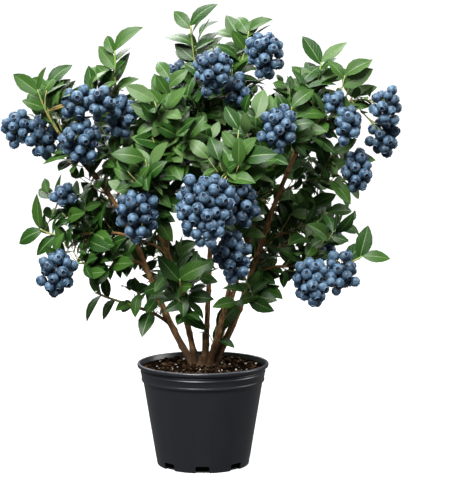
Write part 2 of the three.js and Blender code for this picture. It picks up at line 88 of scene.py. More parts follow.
# The stem that a spray leaves, how far up it (1 is its tip), the share of the way out
# that is bare bough, where the furthest leaf reaches (bearing, reach, height), how far
# the side twigs spread, and the trusses of fruit (bearing, reach, height, berries).
SPRAYS = [
    Spray("left_high", "left", 1, 0, (180, 245, 575), 48,
          [(186, 274, 513, 18), (188, 236, 497, 24), (175, 229, 550, 9)]),
    Spray("upper_left", "left", 0.78, 0.35, (203, 264, 586), 56,
          [(207, 201, 549, 14), (215, 176, 549, 14), (207, 197, 492, 28)]),
    Spray("shoot_left", "left", 0.72, 0.5, (197, 135, 662), 50, [(204, 129, 530, 20)]),
    Spray("shoot_top", "top", 0.8, 0.3, (180, 21, 696), 50, [(150, 50, 583, 14), (155, 72, 506, 12)]),
    Spray("top_centre", "top", 1, 0, (23, 25, 645), 46, [(285, 62, 596, 30), (338, 54, 564, 14)]),
    Spray("top_right", "top", 0.9, 0.3, (6, 76, 684), 44, [(342, 97, 620, 30), (29, 61, 528, 8)]),
    Spray("right_top", "right", 0.84, 0.35, (3, 185, 641), 58, []),
    Spray("right_high", "right", 1, 0, (358, 246, 600), 42,
          [(348, 198, 550, 6), (344, 223, 518, 15), (354, 274, 545, 18), (0, 270, 498, 20)]),
    Spray("right_mid", "right", 0.8, 0.3, (4, 245, 492), 56, [(353, 232, 448, 24)]),
    Spray("centre_right", "front_right", 1, 0, (321, 176, 571), 56, [(308, 178, 515, 30)]),
    Spray("right_low", "right", 0.42, 0.35, (350, 276, 350), 62,
          [(323, 198, 294, 34), (341, 216, 302, 24)]),
    Spray("right_inner", "right", 0.56, 0.4, (10, 220, 415), 58, []),
    Spray("inner_right", "top", 0.5, 0.3, (335, 105, 480), 56, []),
    Spray("centre", "front_right", 0.66, 0.4, (284, 190, 515), 60,
          [(272, 205, 407, 70), (290, 170, 410, 22)]),
    Spray("centre_low", "front_right", 0.4, 0.4, (308, 152, 310), 40, [(285, 166, 336, 26)]),
    Spray("left_mid", "front_left", 1, 0, (245, 176, 506), 52, [(241, 184, 396, 32)]),
    Spray("left_side", "left", 0.62, 0.3, (188, 280, 388), 66, [(191, 208, 413, 9)]),
    Spray("left_low", "left", 0.48, 0.35, (200, 262, 352), 56, [(203, 229, 304, 30)]),
    Spray("lower_left", "left", 0.18, 0, (187, 221, 322), 34, []),
    Spray("rosette", "front_left", 0.3, 0, (254, 124, 335), 40, []),
    Spray("centre_top", "front_left", 0.74, 0.45, (249, 140, 585), 62, []),
    Spray("sprig", "front_right", 0.12, 0, (320, 30, 258), 22, []),
    Spray("back_left_high", "back_left", 1, 0, (128, 215, 565), 62,
          [(136, 212, 490, 24), (112, 190, 520, 18)]),
    Spray("back_left_low", "back_left", 0.6, 0.4, (150, 258, 395), 60, [(146, 226, 360, 26)]),
    Spray("back_high", "top", 0.64, 0.4, (90, 165, 620), 60, [(84, 168, 545, 28)]),
    Spray("back_mid", "back_right", 0.6, 0.4, (84, 240, 450), 60, [(88, 214, 400, 32)]),
    Spray("back_right_high", "back_right", 1, 0, (42, 225, 575), 62,
          [(36, 214, 500, 26), (60, 205, 495, 18)]),
    Spray("back_right_low", "back_right", 0.5, 0.4, (35, 258, 380), 60, [(30, 226, 340, 26)]),
    Spray("back_low", "back_left", 0.36, 0.4, (105, 205, 325), 52, []),
]

TAPER = 0.8  # the power by which limbs thin from foot to tip
STEM_PULL = 0.36  # how strongly a limb's ends hold their directions, as a share of its length
BOUGH_PULL = 0.34
BOUGH_THINNER = 0.62  # a bough's foot, as a share of its stem's radius there
BOUGH_LEAST = 1.5
BOUGH_UPTURN = 0.45
SPINE_TIP = 1.2
SHORT_OF_REACH = 45  # a spine ends this far short of its furthest leaf
TWIG_EVERY = 17
TWIG_SLANT = 50
TWIG_LENGTHS = (0.45, 0.95)  # shares of the spray's spread
TWIG_SHRINK = 0.4  # how much shorter they are at the spine's tip
TWIG_LIFT = 0.35
TWIG_THINNER = 0.55
TWIG_TIP = 0.8
BERRY_RADIUS = 8.2
BERRY_COVER = 3.2  # berries on a shell for each square of its radius, in berry radii
TRUSS_WIDTHS = (0.7, 0.86)
TRUSS_HEIGHTS = (1.0, 1.22)
TRUSS_FILL = 0.87  # of the solids' number of berries, as these trusses are narrower
TRUSS_TAPERS = (0.1, 0.3)
TRUSS_SWAY = 0.16
TRUSS_LUMPS = 0.12
GUIDE_SHARES = (0.15, 0.4, 0.6, 0.8, 1.0)  # the places on a spine that mark its spray's space

# What is finer here than in the solids, first the berries.
BERRY_JITTER = 7
BERRY_SIZES = (0.9, 1.12)
BERRY_TOUCH = 0.89  # berries touch at this share of their radii, as they are a little flat
BERRY_OFF_BARK = 0.5
STRAY_SHARE = 0.18  # of a truss's lower berries, which hang a little further out
STRAY_OUT = 5.5
SETTLE_ROUNDS = 36
SETTLE_PUSH = 0.45  # of their overlap, in each round
SETTLE_PULL = 0.05  # of the way home, in each round
CORE_DEPTH = 14.5  # from the outer berries' middles to those of the berries inside
CORE_LEAST = 4.8  # a smaller inner shell holds only one berry

# Twigs of the next order, and spurs, the short leafy twigs along boughs and spines.
FINE_SHARES = (0.2, 0.38, 0.55, 0.72, 0.88)
FINE_SLANT = 48
FINE_LENGTHS = (0.5, 0.85)
FINE_TIP = 0.55
FINE_BARE = 0.2  # the share at a twig's foot without leaves
SIDE_BARE = 0.3
SPINE_BARE = 0.12
SPUR_EVERY = 10
SPUR_REACH = 0.75  # of the side twigs' spread

# Leaves, and how they turn outwards, up and to the light.
LEAF_SLANT = 62
LEAF_SLANT_WANDER = 26
LEAF_END_SLANT = 16
LEAF_END_SCALE = 0.82
LEAF_RISE = 0.4
LEAF_SAG = 0.18
LOW_FROM = 350.0  # trusses are low below this, and leaves turn more to the light
LOW_OVER = 60.0  # this much further down they do so all of the way
LIT_SHARES = (0.55, 0.95)
SHOOT_LIT = 0.45
LEAF_SIZES = (0.52, 1.12)
LEAF_OUTWARD = (0.8, 0.8, 0.35)
LEAF_SKYWARD = 0.35
LEAF_WANDER = 1.1
SHOOT_WANDER = 0.8
SUN = np.array((-0.3, -0.75, 0.4))  # where the leaves of the bush's front turn to
SUNNY_DEPTH = 220.0  # how far behind the front the sun still turns them
LEAF_SPACES = (9.0, 15.0)  # the least distance between two leaves' middles, in the heart and outside
YOUNG_SHARE = 0.25
BARE_BOUGH = 0.4  # the share of a bough that bears no spurs
STEM_SPURS = {  # which stretch of its stem a spray's spurs clothe too
    "inner_right": (0.62, 0.98), "back_high": (0.5, 0.98), "back_mid": (0.66, 0.98),
    "back_left_low": (0.66, 0.98), "left_side": (0.74, 0.98), "right_inner": (0.7, 0.98),
    "right_low": (0.28, 0.55),
}
STEM_SPUR_COUNT = 14
BACK_SHOOTS = {  # the shares of a spine that shoots rise from which lean back over the heart
    "top_centre": (0.05, 0.15, 0.3, 0.45, 0.6), "top_right": (0.15, 0.3, 0.45, 0.6),
    "shoot_top": (0.2, 0.35, 0.5, 0.65), "centre_top": (0.5, 0.7), "right_top": (0.3, 0.5),
    "upper_left": (0.7, 0.82, 0.94), "right_inner": (0.6, 0.8, 1.0),
}
BACK_LEAN = 1.0
SHOOTS = {  # how much of a spray's end is one clean shoot, in millimetres
    "shoot_left": 95, "shoot_top": 95, "upper_left": 70, "left_high": 50, "top_centre": 55,
    "top_right": 75, "right_top": 75, "right_high": 40, "left_side": 70, "right_low": 60,
    "lower_left": 90, "right_inner": 60, "right_mid": 50, "back_high": 60,
    "back_left_high": 60, "back_right_high": 60,
}
SHORT_SHOOT = 34  # the same for every other spray
SHORTEST_BRANCHING = 0.25  # the share of a spine that always branches
SHOOT_ENDS = {  # where that shoot ends, in shares of the solid's spine
    "upper_left": 1.12, "shoot_left": 1.03, "shoot_top": 1.05, "top_right": 1.08, "right_top": 1.06,
}
SHOOT_EVERY = 11.5
SHOOT_SLANTS = (66, 43)  # of its leaves, at its foot and tip
SHOOT_SLANT_WANDER = 12
SHOOT_OUTWARD = 0.6
SHOOT_SUN = 1.3
SHOOT_LIFT = 0.1
SHOOT_FAN = 2.1  # how far, in radians, its leaves turn out of its plane
PAIR_FAN = 0.5  # the same for the pair at its tip
PAIR_WANDER = 0.3
SHOOT_SIZES = (0.72, 1.1)
SHOOT_SWELL = (0.9, 1.12)  # how its leaves grow from its foot to its tip
SHOOT_YOUNG_FROM = 0.75
SHOOT_YOUNG_SHARE = 0.3
SHOOT_SPACE = 11.0
RISERS = (0.2, 0.5, 0.8, 1.1)  # shares of a spine's branching part that side shoots rise from
RISER_HIGHEST = 0.97
RISER_LENGTHS = (42, 75)
RISER_RADII = (1.3, 0.7)
RISER_OUTWARD = 0.4
RISER_WANDER = 0.7
RISER_BEND = 0.4
LOW_SPRAY = 400.0  # sprays whose tips are lower than this have no side shoots, and their leaves are tinted darker as painted shade
RACEME_LEAVES = 6
RACEME_TOP = 0.8  # of a truss's shell above its middle, where its stalk goes in
RACEME_STRETCH = (0.12, 0.62)  # the shares of the way into a truss that they stand at
RACEME_SLANT = 60
RACEME_LIFT = 0.5
RACEME_OUTWARD = 0.6
RACEME_YOUNG_SHARE = 0.3
RACEME_LEAF_SIZES = (0.4, 0.7)
RACEME_SPACE = 7.0

# What leaves and twigs keep clear of.
FRUIT_GAPS = (0.8, 1.0)  # of leaves and of twigs
BARK_GAPS = (1.0, 1.5)
BEHIND = -20.0  # trusses further back than this have more dusky berries, as painted shade, and are less in sight
FRONT = np.array((0.0, -1.0, 0.0))
SIGHT = 75.0  # how far before a truss no leaf hides it
SIGHT_WIDTH = 0.86  # of a truss's outer radius
LOW_SIGHT_DROP = 0.5  # the air behind a low truss, in its outer radii: how far down it starts,
LOW_SIGHT_LENGTH = 2  # how long it is
LOW_SIGHT_WIDTH = 0.95  # and its own radius
SHOWN_STEMS = {"right": (0.7, 1.0), "left": (0.72, 0.9)}  # stretches that show through the leaves
SHOWN_POINTS = 9
SHOWN_SIGHT = 220.0
SHOWN_WIDTH = 8.0
FREE_SPACE = 42.0  # this far from every other spray a twig may stray
FULL_SPREAD = 54.0  # sprays that spread less than this are the more open
SPARSE = {
    "lower_left": 2.4, "sprig": 1.5, "right_inner": 1.25, "right_mid": 1.25, "inner_right": 1.3,
}
SPACE_MARGIN = -14.0  # how far neighbouring sprays reach into each other
BEYOND_SOLID = 26.0  # how far a leaf may pass the sides of its spray's solid
BEYOND_REACH = 18.0  # how far it may pass the spray's own reach from the heart


def unit(vector):
    return vector / np.linalg.norm(vector, axis=-1, keepdims=True)


def around(bearing, reach, height=0.0):
    """A point from its bearing in degrees (0 is +X, 90 is +Y), its reach and its height."""
    turn = math.radians(bearing)
    return np.array((reach * math.cos(turn), reach * math.sin(turn), height))


def between(span, share):
    low, high = span
    return low + (high - low) * share


class Seeded:
    """Even random numbers from 0 to 1, the same on every run and the same as in the solids."""

    def __init__(self, seed):
        self.state = (seed * 7919 + 17) % 2**32

    def __call__(self):
        self.state = (self.state * 1664525 + 1013904223) % 2**32
        return self.state / 2**32

    def drift(self):
        """A random vector, each part of it from -0.5 to 0.5."""
        return np.array((self(), self(), self())) - 0.5


def radial(axis, turn):
    """A unit vector square to axis, at a turn round it."""
    side = unit(np.cross(axis, TILTED_UP))
    return side * math.cos(turn) + np.cross(side, axis) * math.sin(turn)


def slanted(axis, slant, turn):
    """The direction that leaves axis at a slant in degrees, at a turn round it."""
    slant = math.radians(slant)
    return radial(axis, turn) * math.sin(slant) + axis * math.cos(slant)


class Bezier:
    """A curve through its first and last control point."""

    def __init__(self, *controls):
        self.controls = [np.asarray(control, float) for control in controls]

    def at(self, share):
        share = np.asarray(share, float)[..., None]
        points = self.controls
        while len(points) > 1:
            points = [a + (b - a) * share for a, b in zip(points, points[1:])]
        return points[0]

    def heading(self, share):
        ahead = np.minimum(np.asarray(share, float) + 1e-4, 1)
        return unit(self.at(ahead) - self.at(ahead - 2e-4))

    def length(self):
        steps = np.diff(self.at(np.linspace(0, 1, 201)), axis=0)
        return float(np.linalg.norm(steps, axis=1).sum())


def arc(start, leaving, arriving, end, share):
    """A curve that leaves and arrives in given directions, held by a share of its length."""
    pull = np.linalg.norm(end - start) * share
    return Bezier(start, start + leaving * pull, end - arriving * pull, end)


class Limb:
    """A tapering stem, bough, spine, twig or stalk, from one share of its curve to another."""

    def __init__(self, curve, foot, tip, span=(0.0, 1.0)):
        self.curve = curve
        self.foot = foot
        self.tip = tip
        self.span = span
        self.length = curve.length() * (span[1] - span[0])

    def thickness(self, share):
        return self.foot + (self.tip - self.foot) * share**TAPER

    def cut_at(self, end, start=0.0):
        """The same limb between two shares of its curve."""
        return Limb(self.curve, self.foot, self.tip, (start, end))

    def samples(self, every):
        """Points along the axis, each with the limb's radius there."""
        shares = np.linspace(*self.span, max(2, int(self.length / every)))
        return np.column_stack((self.curve.at(shares), self.thickness(shares)))


def share_at(limb, point):
    """How far up its curve a limb comes nearest to a point."""
    shares = np.linspace(*limb.span, 40)
    return shares[np.linalg.norm(limb.curve.at(shares) - point, axis=1).argmin()]


def stem_limb(stem):
    def leaning(bearing, angle):
        return around(bearing, math.sin(math.radians(angle)), math.cos(math.radians(angle)))

    start = around(*stem.foot, GROUND)
    end = around(*stem.tip)
    leaving = leaning(stem.foot[0], stem.lean[0])
    arriving = leaning(stem.tip[0], stem.lean[1])
    return Limb(arc(start, leaving, arriving, end, STEM_PULL), *stem.radii)


def branch_limb(spray, stem):
    """The one curve of a bough and the spine that grows on from it."""
    start = stem.curve.at(spray.at)
    heading = stem.curve.heading(spray.at)
    reach = around(*spray.tip)
    arriving = unit(unit(reach - start) + UP * BOUGH_UPTURN)
    end = reach - arriving * SHORT_OF_REACH
    at_tip = spray.at == 1
    leaving = heading if at_tip else unit(unit(end - start) + heading)
    foot = stem.tip if at_tip else max(BOUGH_LEAST, stem.thickness(spray.at) * BOUGH_THINNER)
    return Limb(arc(start, leaving, arriving, end, BOUGH_PULL), foot, SPINE_TIP)


# ---- Growing the sprays ------------------------------------------------------------

# A truss's shell is the radius that its outer berries' middles lie at, and its outer radius
# takes those berries in. It starts on the spine.
Truss = namedtuple("Truss", "centre shell outer berries start stretch taper sway")
Skeleton = namedtuple("Skeleton", "spray spine twigs trusses guides random seed")
Leaf = namedtuple("Leaf", "root heading facing length width spray seed young")
Space = namedtuple("Space", "others low high reach")


def truss_of(row, spine):
    """A truss hangs from the nearest place on the spine, and its size follows its berries."""
    *place, berries = row
    centre = around(*place)
    shell = BERRY_RADIUS * math.sqrt(berries / BERRY_COVER)
    places = spine.curve.at(np.linspace(*spine.span, 14)[1:-1])
    top = centre + UP * shell
    start = places[np.argmin(np.linalg.norm(places - top, axis=1))]
    random = Seeded(round(abs(centre).sum()))
    wide, deep = (between(TRUSS_WIDTHS, random()) for _ in range(2))
    stretch = np.array((wide, deep, between(TRUSS_HEIGHTS, random())))
    taper = between(TRUSS_TAPERS, random())
    sway = (np.array((random(), random(), 0.5)) - 0.5) * 2 * TRUSS_SWAY
    count = round(berries * TRUSS_FILL)
    return Truss(centre, shell, shell + BERRY_RADIUS, count, start, stretch, taper, sway)


def twig_from(limb, share, heading, reach, tip_radius):
    """A twig that leaves a limb at a share of its curve and lifts as it goes."""
    root = limb.curve.at(share)
    tip = root + heading * reach + UP * reach * TWIG_LIFT
    curve = Bezier(root, root + heading * reach / 2, tip)
    return Limb(curve, limb.thickness(share) * TWIG_THINNER, tip_radius)


def skeleton_of(spray, limb, seed):
    """A spray's spine, the side twigs set round it, and its trusses."""
    random = Seeded(seed)
    start = spray.bough
    spine = limb.cut_at(1.0, start)
    count = max(3, int(spine.length / TWIG_EVERY + 0.5))
    twigs = []
    for i in range(count):
        along = (i + 1) / (count + 1)
        share = between((start, 1), along)
        heading = slanted(limb.curve.heading(share), TWIG_SLANT, i * GOLDEN + random() + seed)
        reach = spray.spread * (1 - TWIG_SHRINK * along) * between(TWIG_LENGTHS, random())
        twigs.append(twig_from(limb, share, heading, reach, TWIG_TIP))
    trusses = [truss_of(row, spine) for row in spray.fruit]
    guides = limb.curve.at(between((start, 1), np.array(GUIDE_SHARES)))
    guides = np.vstack([guides] + [truss.centre for truss in trusses])
    return Skeleton(spray, spine, twigs, trusses, guides, random, seed)


def finer_twigs(limb, shares, longest, random):
    """The twigs of the next order, set round a limb at shares of its curve."""
    made = []
    for i, share in enumerate(shares):
        heading = slanted(limb.curve.heading(share), FINE_SLANT, i * GOLDEN + random() * 3)
        reach = longest * between(FINE_LENGTHS, random())
        made.append(twig_from(limb, share, heading, reach, FINE_TIP))
    return made


def space_of(skeleton, skeletons):
    """The other sprays' guides, and what a spray's leaves stay in.

    That is a box round its solid and the leafy stretch of its bough, and a reach from the heart.
    """
    spray = skeleton.spray
    others = np.vstack([other.guides for other in skeletons if other is not skeleton])
    low, high = (np.array(corner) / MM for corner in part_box(f"spray_{spray.name}"))
    bough = skeleton.spine.curve.at(np.linspace(spray.bough * BARE_BOUGH, spray.bough, 6))
    low = np.minimum(low, bough.min(0)) - BEYOND_SOLID
    high = np.maximum(high, bough.max(0)) + BEYOND_SOLID
    ends = np.vstack((skeleton.guides, around(*spray.tip)))
    reach = BEYOND_REACH + np.linalg.norm(ends - HEART, axis=1).max()
    return Space(others, low, high, reach)


def openness(spray):
    """How many times further apart than usual a spray's leaves and spurs are."""
    return SPARSE.get(spray.name, max(1.0, FULL_SPREAD / spray.spread))


def clearings_of(skeletons, stems):
    """The air that leaves keep out of, before trusses and bare stems: starts, ways, lengths, radii."""
    rods = []
    for name, stretch in SHOWN_STEMS.items():
        points = stems[name].curve.at(np.linspace(*stretch, SHOWN_POINTS))
        rods.extend((point, FRONT, SHOWN_SIGHT, SHOWN_WIDTH) for point in points)
    for truss in (truss for skeleton in skeletons for truss in skeleton.trusses):
        shown = [(unit(truss.centre * (1, 1, 0)), truss.outer)]
        if truss.centre[1] < BEHIND:
            shown.append((FRONT, SIGHT))
        elif truss.centre[1] < -BEHIND:
            shown.append((FRONT, truss.outer))
        for way, length in shown:
            rods.append((truss.centre, way, length, truss.outer * SIGHT_WIDTH))
        if truss.centre[2] < LOW_FROM:
            start = truss.centre - UP * truss.outer * LOW_SIGHT_DROP
            length, radius = truss.outer * LOW_SIGHT_LENGTH, truss.outer * LOW_SIGHT_WIDTH
            rods.append((start, -shown[-1][0], length, radius))
    return [np.array(column) for column in zip(*rods)]


class Clearance:
    """What leaves and twigs keep clear of: other sprays' space, the fruit and the limbs."""

    def __init__(self, skeletons, berries, stems, limbs):
        self.spaces = {skeleton.seed: space_of(skeleton, skeletons) for skeleton in skeletons}
        self.berries = berries
        self.clearings = clearings_of(skeletons, stems)
        self.bark = np.vstack([limb.samples(every=6) for limb in limbs])
        self.leaves = np.empty((0, 3))

    @staticmethod
    def gap(points, balls, least):
        """Whether every point is at least so far outside every ball (x, y, z, radius)."""
        apart = np.linalg.norm(points[:, None] - balls[None, :, :3], axis=2) - balls[None, :, 3]
        return bool((apart > least).all())

    def in_space(self, skeleton, points):
        """Whether the points are in their spray's box and reach, and in no other spray's space."""
        space = self.spaces[skeleton.seed]
        own = np.linalg.norm(points[:, None] - skeleton.guides[None], axis=2).min(1)
        other = np.linalg.norm(points[:, None] - space.others[None], axis=2).min(1)
        own_space = (other > np.minimum(own + SPACE_MARGIN, FREE_SPACE)).all()
        inside = (points > space.low).all() and (points < space.high).all()
        within = (np.linalg.norm(points - HEART, axis=1) < space.reach).all()
        return bool(own_space and inside and within)

    def in_clear_air(self, points):
        """Whether the points hide no truss and no shown stem."""
        starts, ways, lengths, radii = self.clearings
        away = points[:, None] - starts
        ahead = np.clip((away * ways).sum(2), 0, lengths)
        return bool((np.linalg.norm(away - ahead[..., None] * ways, axis=2) > radii).all())

    def leaf_fits(self, skeleton, leaf, apart=None, on_fruit=False):
        """Whether a leaf has room, apart from the others. One on fruit may hide it.

        A leaf that fits takes its place.
        """
        points = leaf_points(leaf)
        middle = points[1]
        if apart is None:
            out = np.linalg.norm(middle - HEART) / self.spaces[skeleton.seed].reach
            apart = between(LEAF_SPACES, min(1, out) ** 5) * openness(skeleton.spray)
        if len(self.leaves) and np.linalg.norm(self.leaves - middle, axis=1).min() < apart:
            return False
        fits = (
            self.in_space(skeleton, points)
            and (on_fruit or self.in_clear_air(points[1:]))
            and self.gap(points[1:], self.berries, FRUIT_GAPS[0])
            and self.gap(points, self.bark, BARK_GAPS[0])
        )
        if fits:
            self.leaves = np.vstack((self.leaves, middle))
        return fits

    def twig_fits(self, skeleton, twig):
        points = twig.curve.at(np.array((0.4, 0.7, 1.0)))
        return (
            self.in_space(skeleton, points)
            and self.in_clear_air(points[1:])
            and self.gap(points, self.bark, BARK_GAPS[1])
            and self.gap(points[1:], self.berries, FRUIT_GAPS[1])
        )


def leaf_axes(leaf):
    """A leaf's sideways, lengthwise and upward directions."""
    side = unit(np.cross(leaf.facing, leaf.heading))
    return np.array((side, leaf.heading, np.cross(leaf.heading, side)))


def leaf_points(leaf):
    """Points along a leaf's rib, the second of them its middle, and on its two edges."""
    side = unit(np.cross(leaf.facing, leaf.heading)) * leaf.width / 2
    along = [leaf.root + leaf.heading * leaf.length * share for share in (0.25, 0.5, 0.8, 1.0)]
    return np.array(along + [along[1] + side, along[1] - side])


def lit(heading, facing, share):
    """A leaf's direction, turned into the plane that faces the light by a share of the way."""
    facing = unit(facing)
    return unit(heading - facing * (heading @ facing) * share)


def leaves_along(skeleton, twig, bare, size):
    """The leaves that a twig is offered, from its tip down."""
    random = skeleton.random
    length, width, every = size
    count = max(2, int(twig.length * (1 - bare) / every + 0.5))
    first = random() * FULL_TURN
    start, end = twig.span
    for i in range(count + 1):
        share = 1 if i == 0 else 1 - (1 - bare) * (i - 0.5) / count
        share = between((start, end), share)
        root = twig.curve.at(share)
        low = np.clip((LOW_FROM - root[2]) / LOW_OVER, 0, 1)
        slant = LEAF_END_SLANT if i == 0 else LEAF_SLANT + LEAF_SLANT_WANDER * (random() - 0.5)
        heading = slanted(twig.curve.heading(share), slant, first + i * GOLDEN)
        heading = heading + UP * (random() * LEAF_RISE - LEAF_SAG)
        wander = random.drift()
        sunny = np.clip(0.5 - root[1] / SUNNY_DEPTH, 0, 1)
        facing = unit(root - HEART) * LEAF_OUTWARD * (1 - low) + UP * LEAF_SKYWARD + SUN * sunny
        facing = facing + wander * LEAF_WANDER
        heading = lit(heading, facing, between(LIT_SHARES, low))
        scale = between(LEAF_SIZES, random()) * (LEAF_END_SCALE if i == 0 else 1.0)
        young = i <= 1 and random() < YOUNG_SHARE
        yield Leaf(root, heading, facing, length * scale, width * scale,
                   skeleton.seed, random(), young)


def shoot_leaves(skeleton, shoot, size):
    """The leaves of a clean shoot, from the pair at its tip down, by turns to its left and right."""
    random = skeleton.random
    length, width, _ = size
    count = max(3, round(shoot.length / SHOOT_EVERY))
    for i in range(count):
        along = 1 - max(0, i - 0.6) / count
        share = between(shoot.span, along)
        root = shoot.curve.at(share)
        axis = shoot.curve.heading(share)
        sunny = np.clip(0.6 - root[1] / SUNNY_DEPTH, 0, 1)
        outward = unit(root - HEART) * LEAF_OUTWARD * SHOOT_OUTWARD + SUN * SHOOT_SUN * sunny
        side = unit(np.cross(axis, outward))
        fan, stray = (PAIR_FAN, PAIR_WANDER) if i < 2 else (SHOOT_FAN, SHOOT_WANDER)
        turn = i * math.pi + (random() - 0.5) * fan / openness(skeleton.spray)
        across = side * math.cos(turn) + np.cross(side, axis) * math.sin(turn)
        slant = math.radians(between(SHOOT_SLANTS, along) + SHOOT_SLANT_WANDER * (random() - 0.5))
        heading = unit(axis * math.cos(slant) + across * math.sin(slant) + UP * SHOOT_LIFT)
        facing = outward + random.drift() * stray
        heading = lit(heading, facing, SHOOT_LIT)
        scale = between(SHOOT_SIZES, random()) * between(SHOOT_SWELL, along)
        young = along > SHOOT_YOUNG_FROM and random() < SHOOT_YOUNG_SHARE
        yield Leaf(root, heading, facing, length * scale, width * scale,
                   skeleton.seed, random(), young)


def raceme_leaves(skeleton, truss, size):
    """A few small leaves where a truss leaves its spine."""
    random = skeleton.random
    length, width, _ = size
    hang = truss.centre + UP * truss.shell * RACEME_TOP - truss.start
    for i in range(RACEME_LEAVES):
        root = truss.start + hang * between(RACEME_STRETCH, i / RACEME_LEAVES)
        heading = slanted(unit(hang), RACEME_SLANT, i * GOLDEN + random() * 2) + UP * RACEME_LIFT
        facing = UP + unit(root - HEART) * RACEME_OUTWARD + random.drift()
        scale = between(RACEME_LEAF_SIZES, random())
        yield Leaf(root, unit(heading), facing, length * scale, width * scale,
                   skeleton.seed, random(), random() < RACEME_YOUNG_SHARE)


def riser_from(spine, share, random, lean=0.0):
    """A side shoot that rises from a spine, and may lean back."""
    root = spine.curve.at(share)
    drift = random.drift() * RISER_WANDER
    rise = unit(UP + unit(root - HEART) * RISER_OUTWARD - FRONT * lean + drift)
    reach = between(RISER_LENGTHS, random())
    middle = root + unit(spine.curve.heading(share) + rise) * reach * RISER_BEND
    return Limb(Bezier(root, middle, root + rise * reach), *RISER_RADII)


def berry_place(truss, i):
    """The i-th of the places spread evenly over a truss, which is widest near its top."""
    height = 1 - 2 * (i + 0.5) / truss.berries
    turn = i * GOLDEN
    out = math.sqrt(1 - height * height) * (1 + truss.taper * height)
    lump = 1 + TRUSS_LUMPS * math.sin(3 * turn + 4 * height + truss.shell)
    direction = np.array((out * math.cos(turn), out * math.sin(turn), height)) * lump
    return truss.centre + (direction * truss.stretch + truss.sway * height * height) * truss.shell


def pack_berries(skeletons, limbs):
    """Berries settle against each other, close to their places on the trusses' shells."""
    random = Seeded(411)
    homes, radii = [], []
    for skeleton in skeletons:
        for truss in skeleton.trusses:
            for i in range(truss.berries):
                jitter = random.drift() * BERRY_JITTER
                home = berry_place(truss, i) + jitter
                if random() < STRAY_SHARE and home[2] < truss.centre[2]:
                    home += unit(home - truss.centre) * STRAY_OUT
                homes.append(home)
                radii.append(BERRY_RADIUS * between(BERRY_SIZES, random()))
    homes = np.array(homes)
    radii = np.array(radii)
    places = homes.copy()
    bark = np.vstack([limb.samples(every=5) for limb in limbs])
    touching = (radii[:, None] + radii[None]) * BERRY_TOUCH
    for _ in range(SETTLE_ROUNDS):
        apart = places[:, None] - places[None]
        distance = np.linalg.norm(apart, axis=2)
        np.fill_diagonal(distance, 1e6)
        overlap = np.clip(touching - distance, 0, None)
        push = (apart / distance[..., None] * overlap[..., None]).sum(1)
        places += push * SETTLE_PUSH + (homes - places) * SETTLE_PULL
        apart = places[:, None] - bark[None, :, :3]
        distance = np.linalg.norm(apart, axis=2)
        touching_bark = radii[:, None] + bark[None, :, 3] + BERRY_OFF_BARK
        overlap = np.clip(touching_bark - distance, 0, None)
        nearest = overlap.argmax(1)
        rows = np.arange(len(places))
        places += apart[rows, nearest] / distance[rows, nearest, None] * overlap[rows, nearest, None]
    return places, radii


def core_berries(truss):
    """The berries that a truss's outer ones hide: places and radii. A small one has only one."""
    inner = truss.shell - CORE_DEPTH
    if inner < CORE_LEAST:
        radius = min(BERRY_RADIUS, truss.shell - BERRY_RADIUS * 0.8)
        return np.array([truss.centre]), np.array([radius])
    count = round(BERRY_COVER * (inner / BERRY_RADIUS) ** 2) + 1
    ball = truss._replace(shell=inner, berries=count)
    return np.array([berry_place(ball, i) for i in range(count)]), np.full(count, BERRY_RADIUS)


Bush = namedtuple("Bush", "stems boughs spines twigs leaves berries radii skeletons")


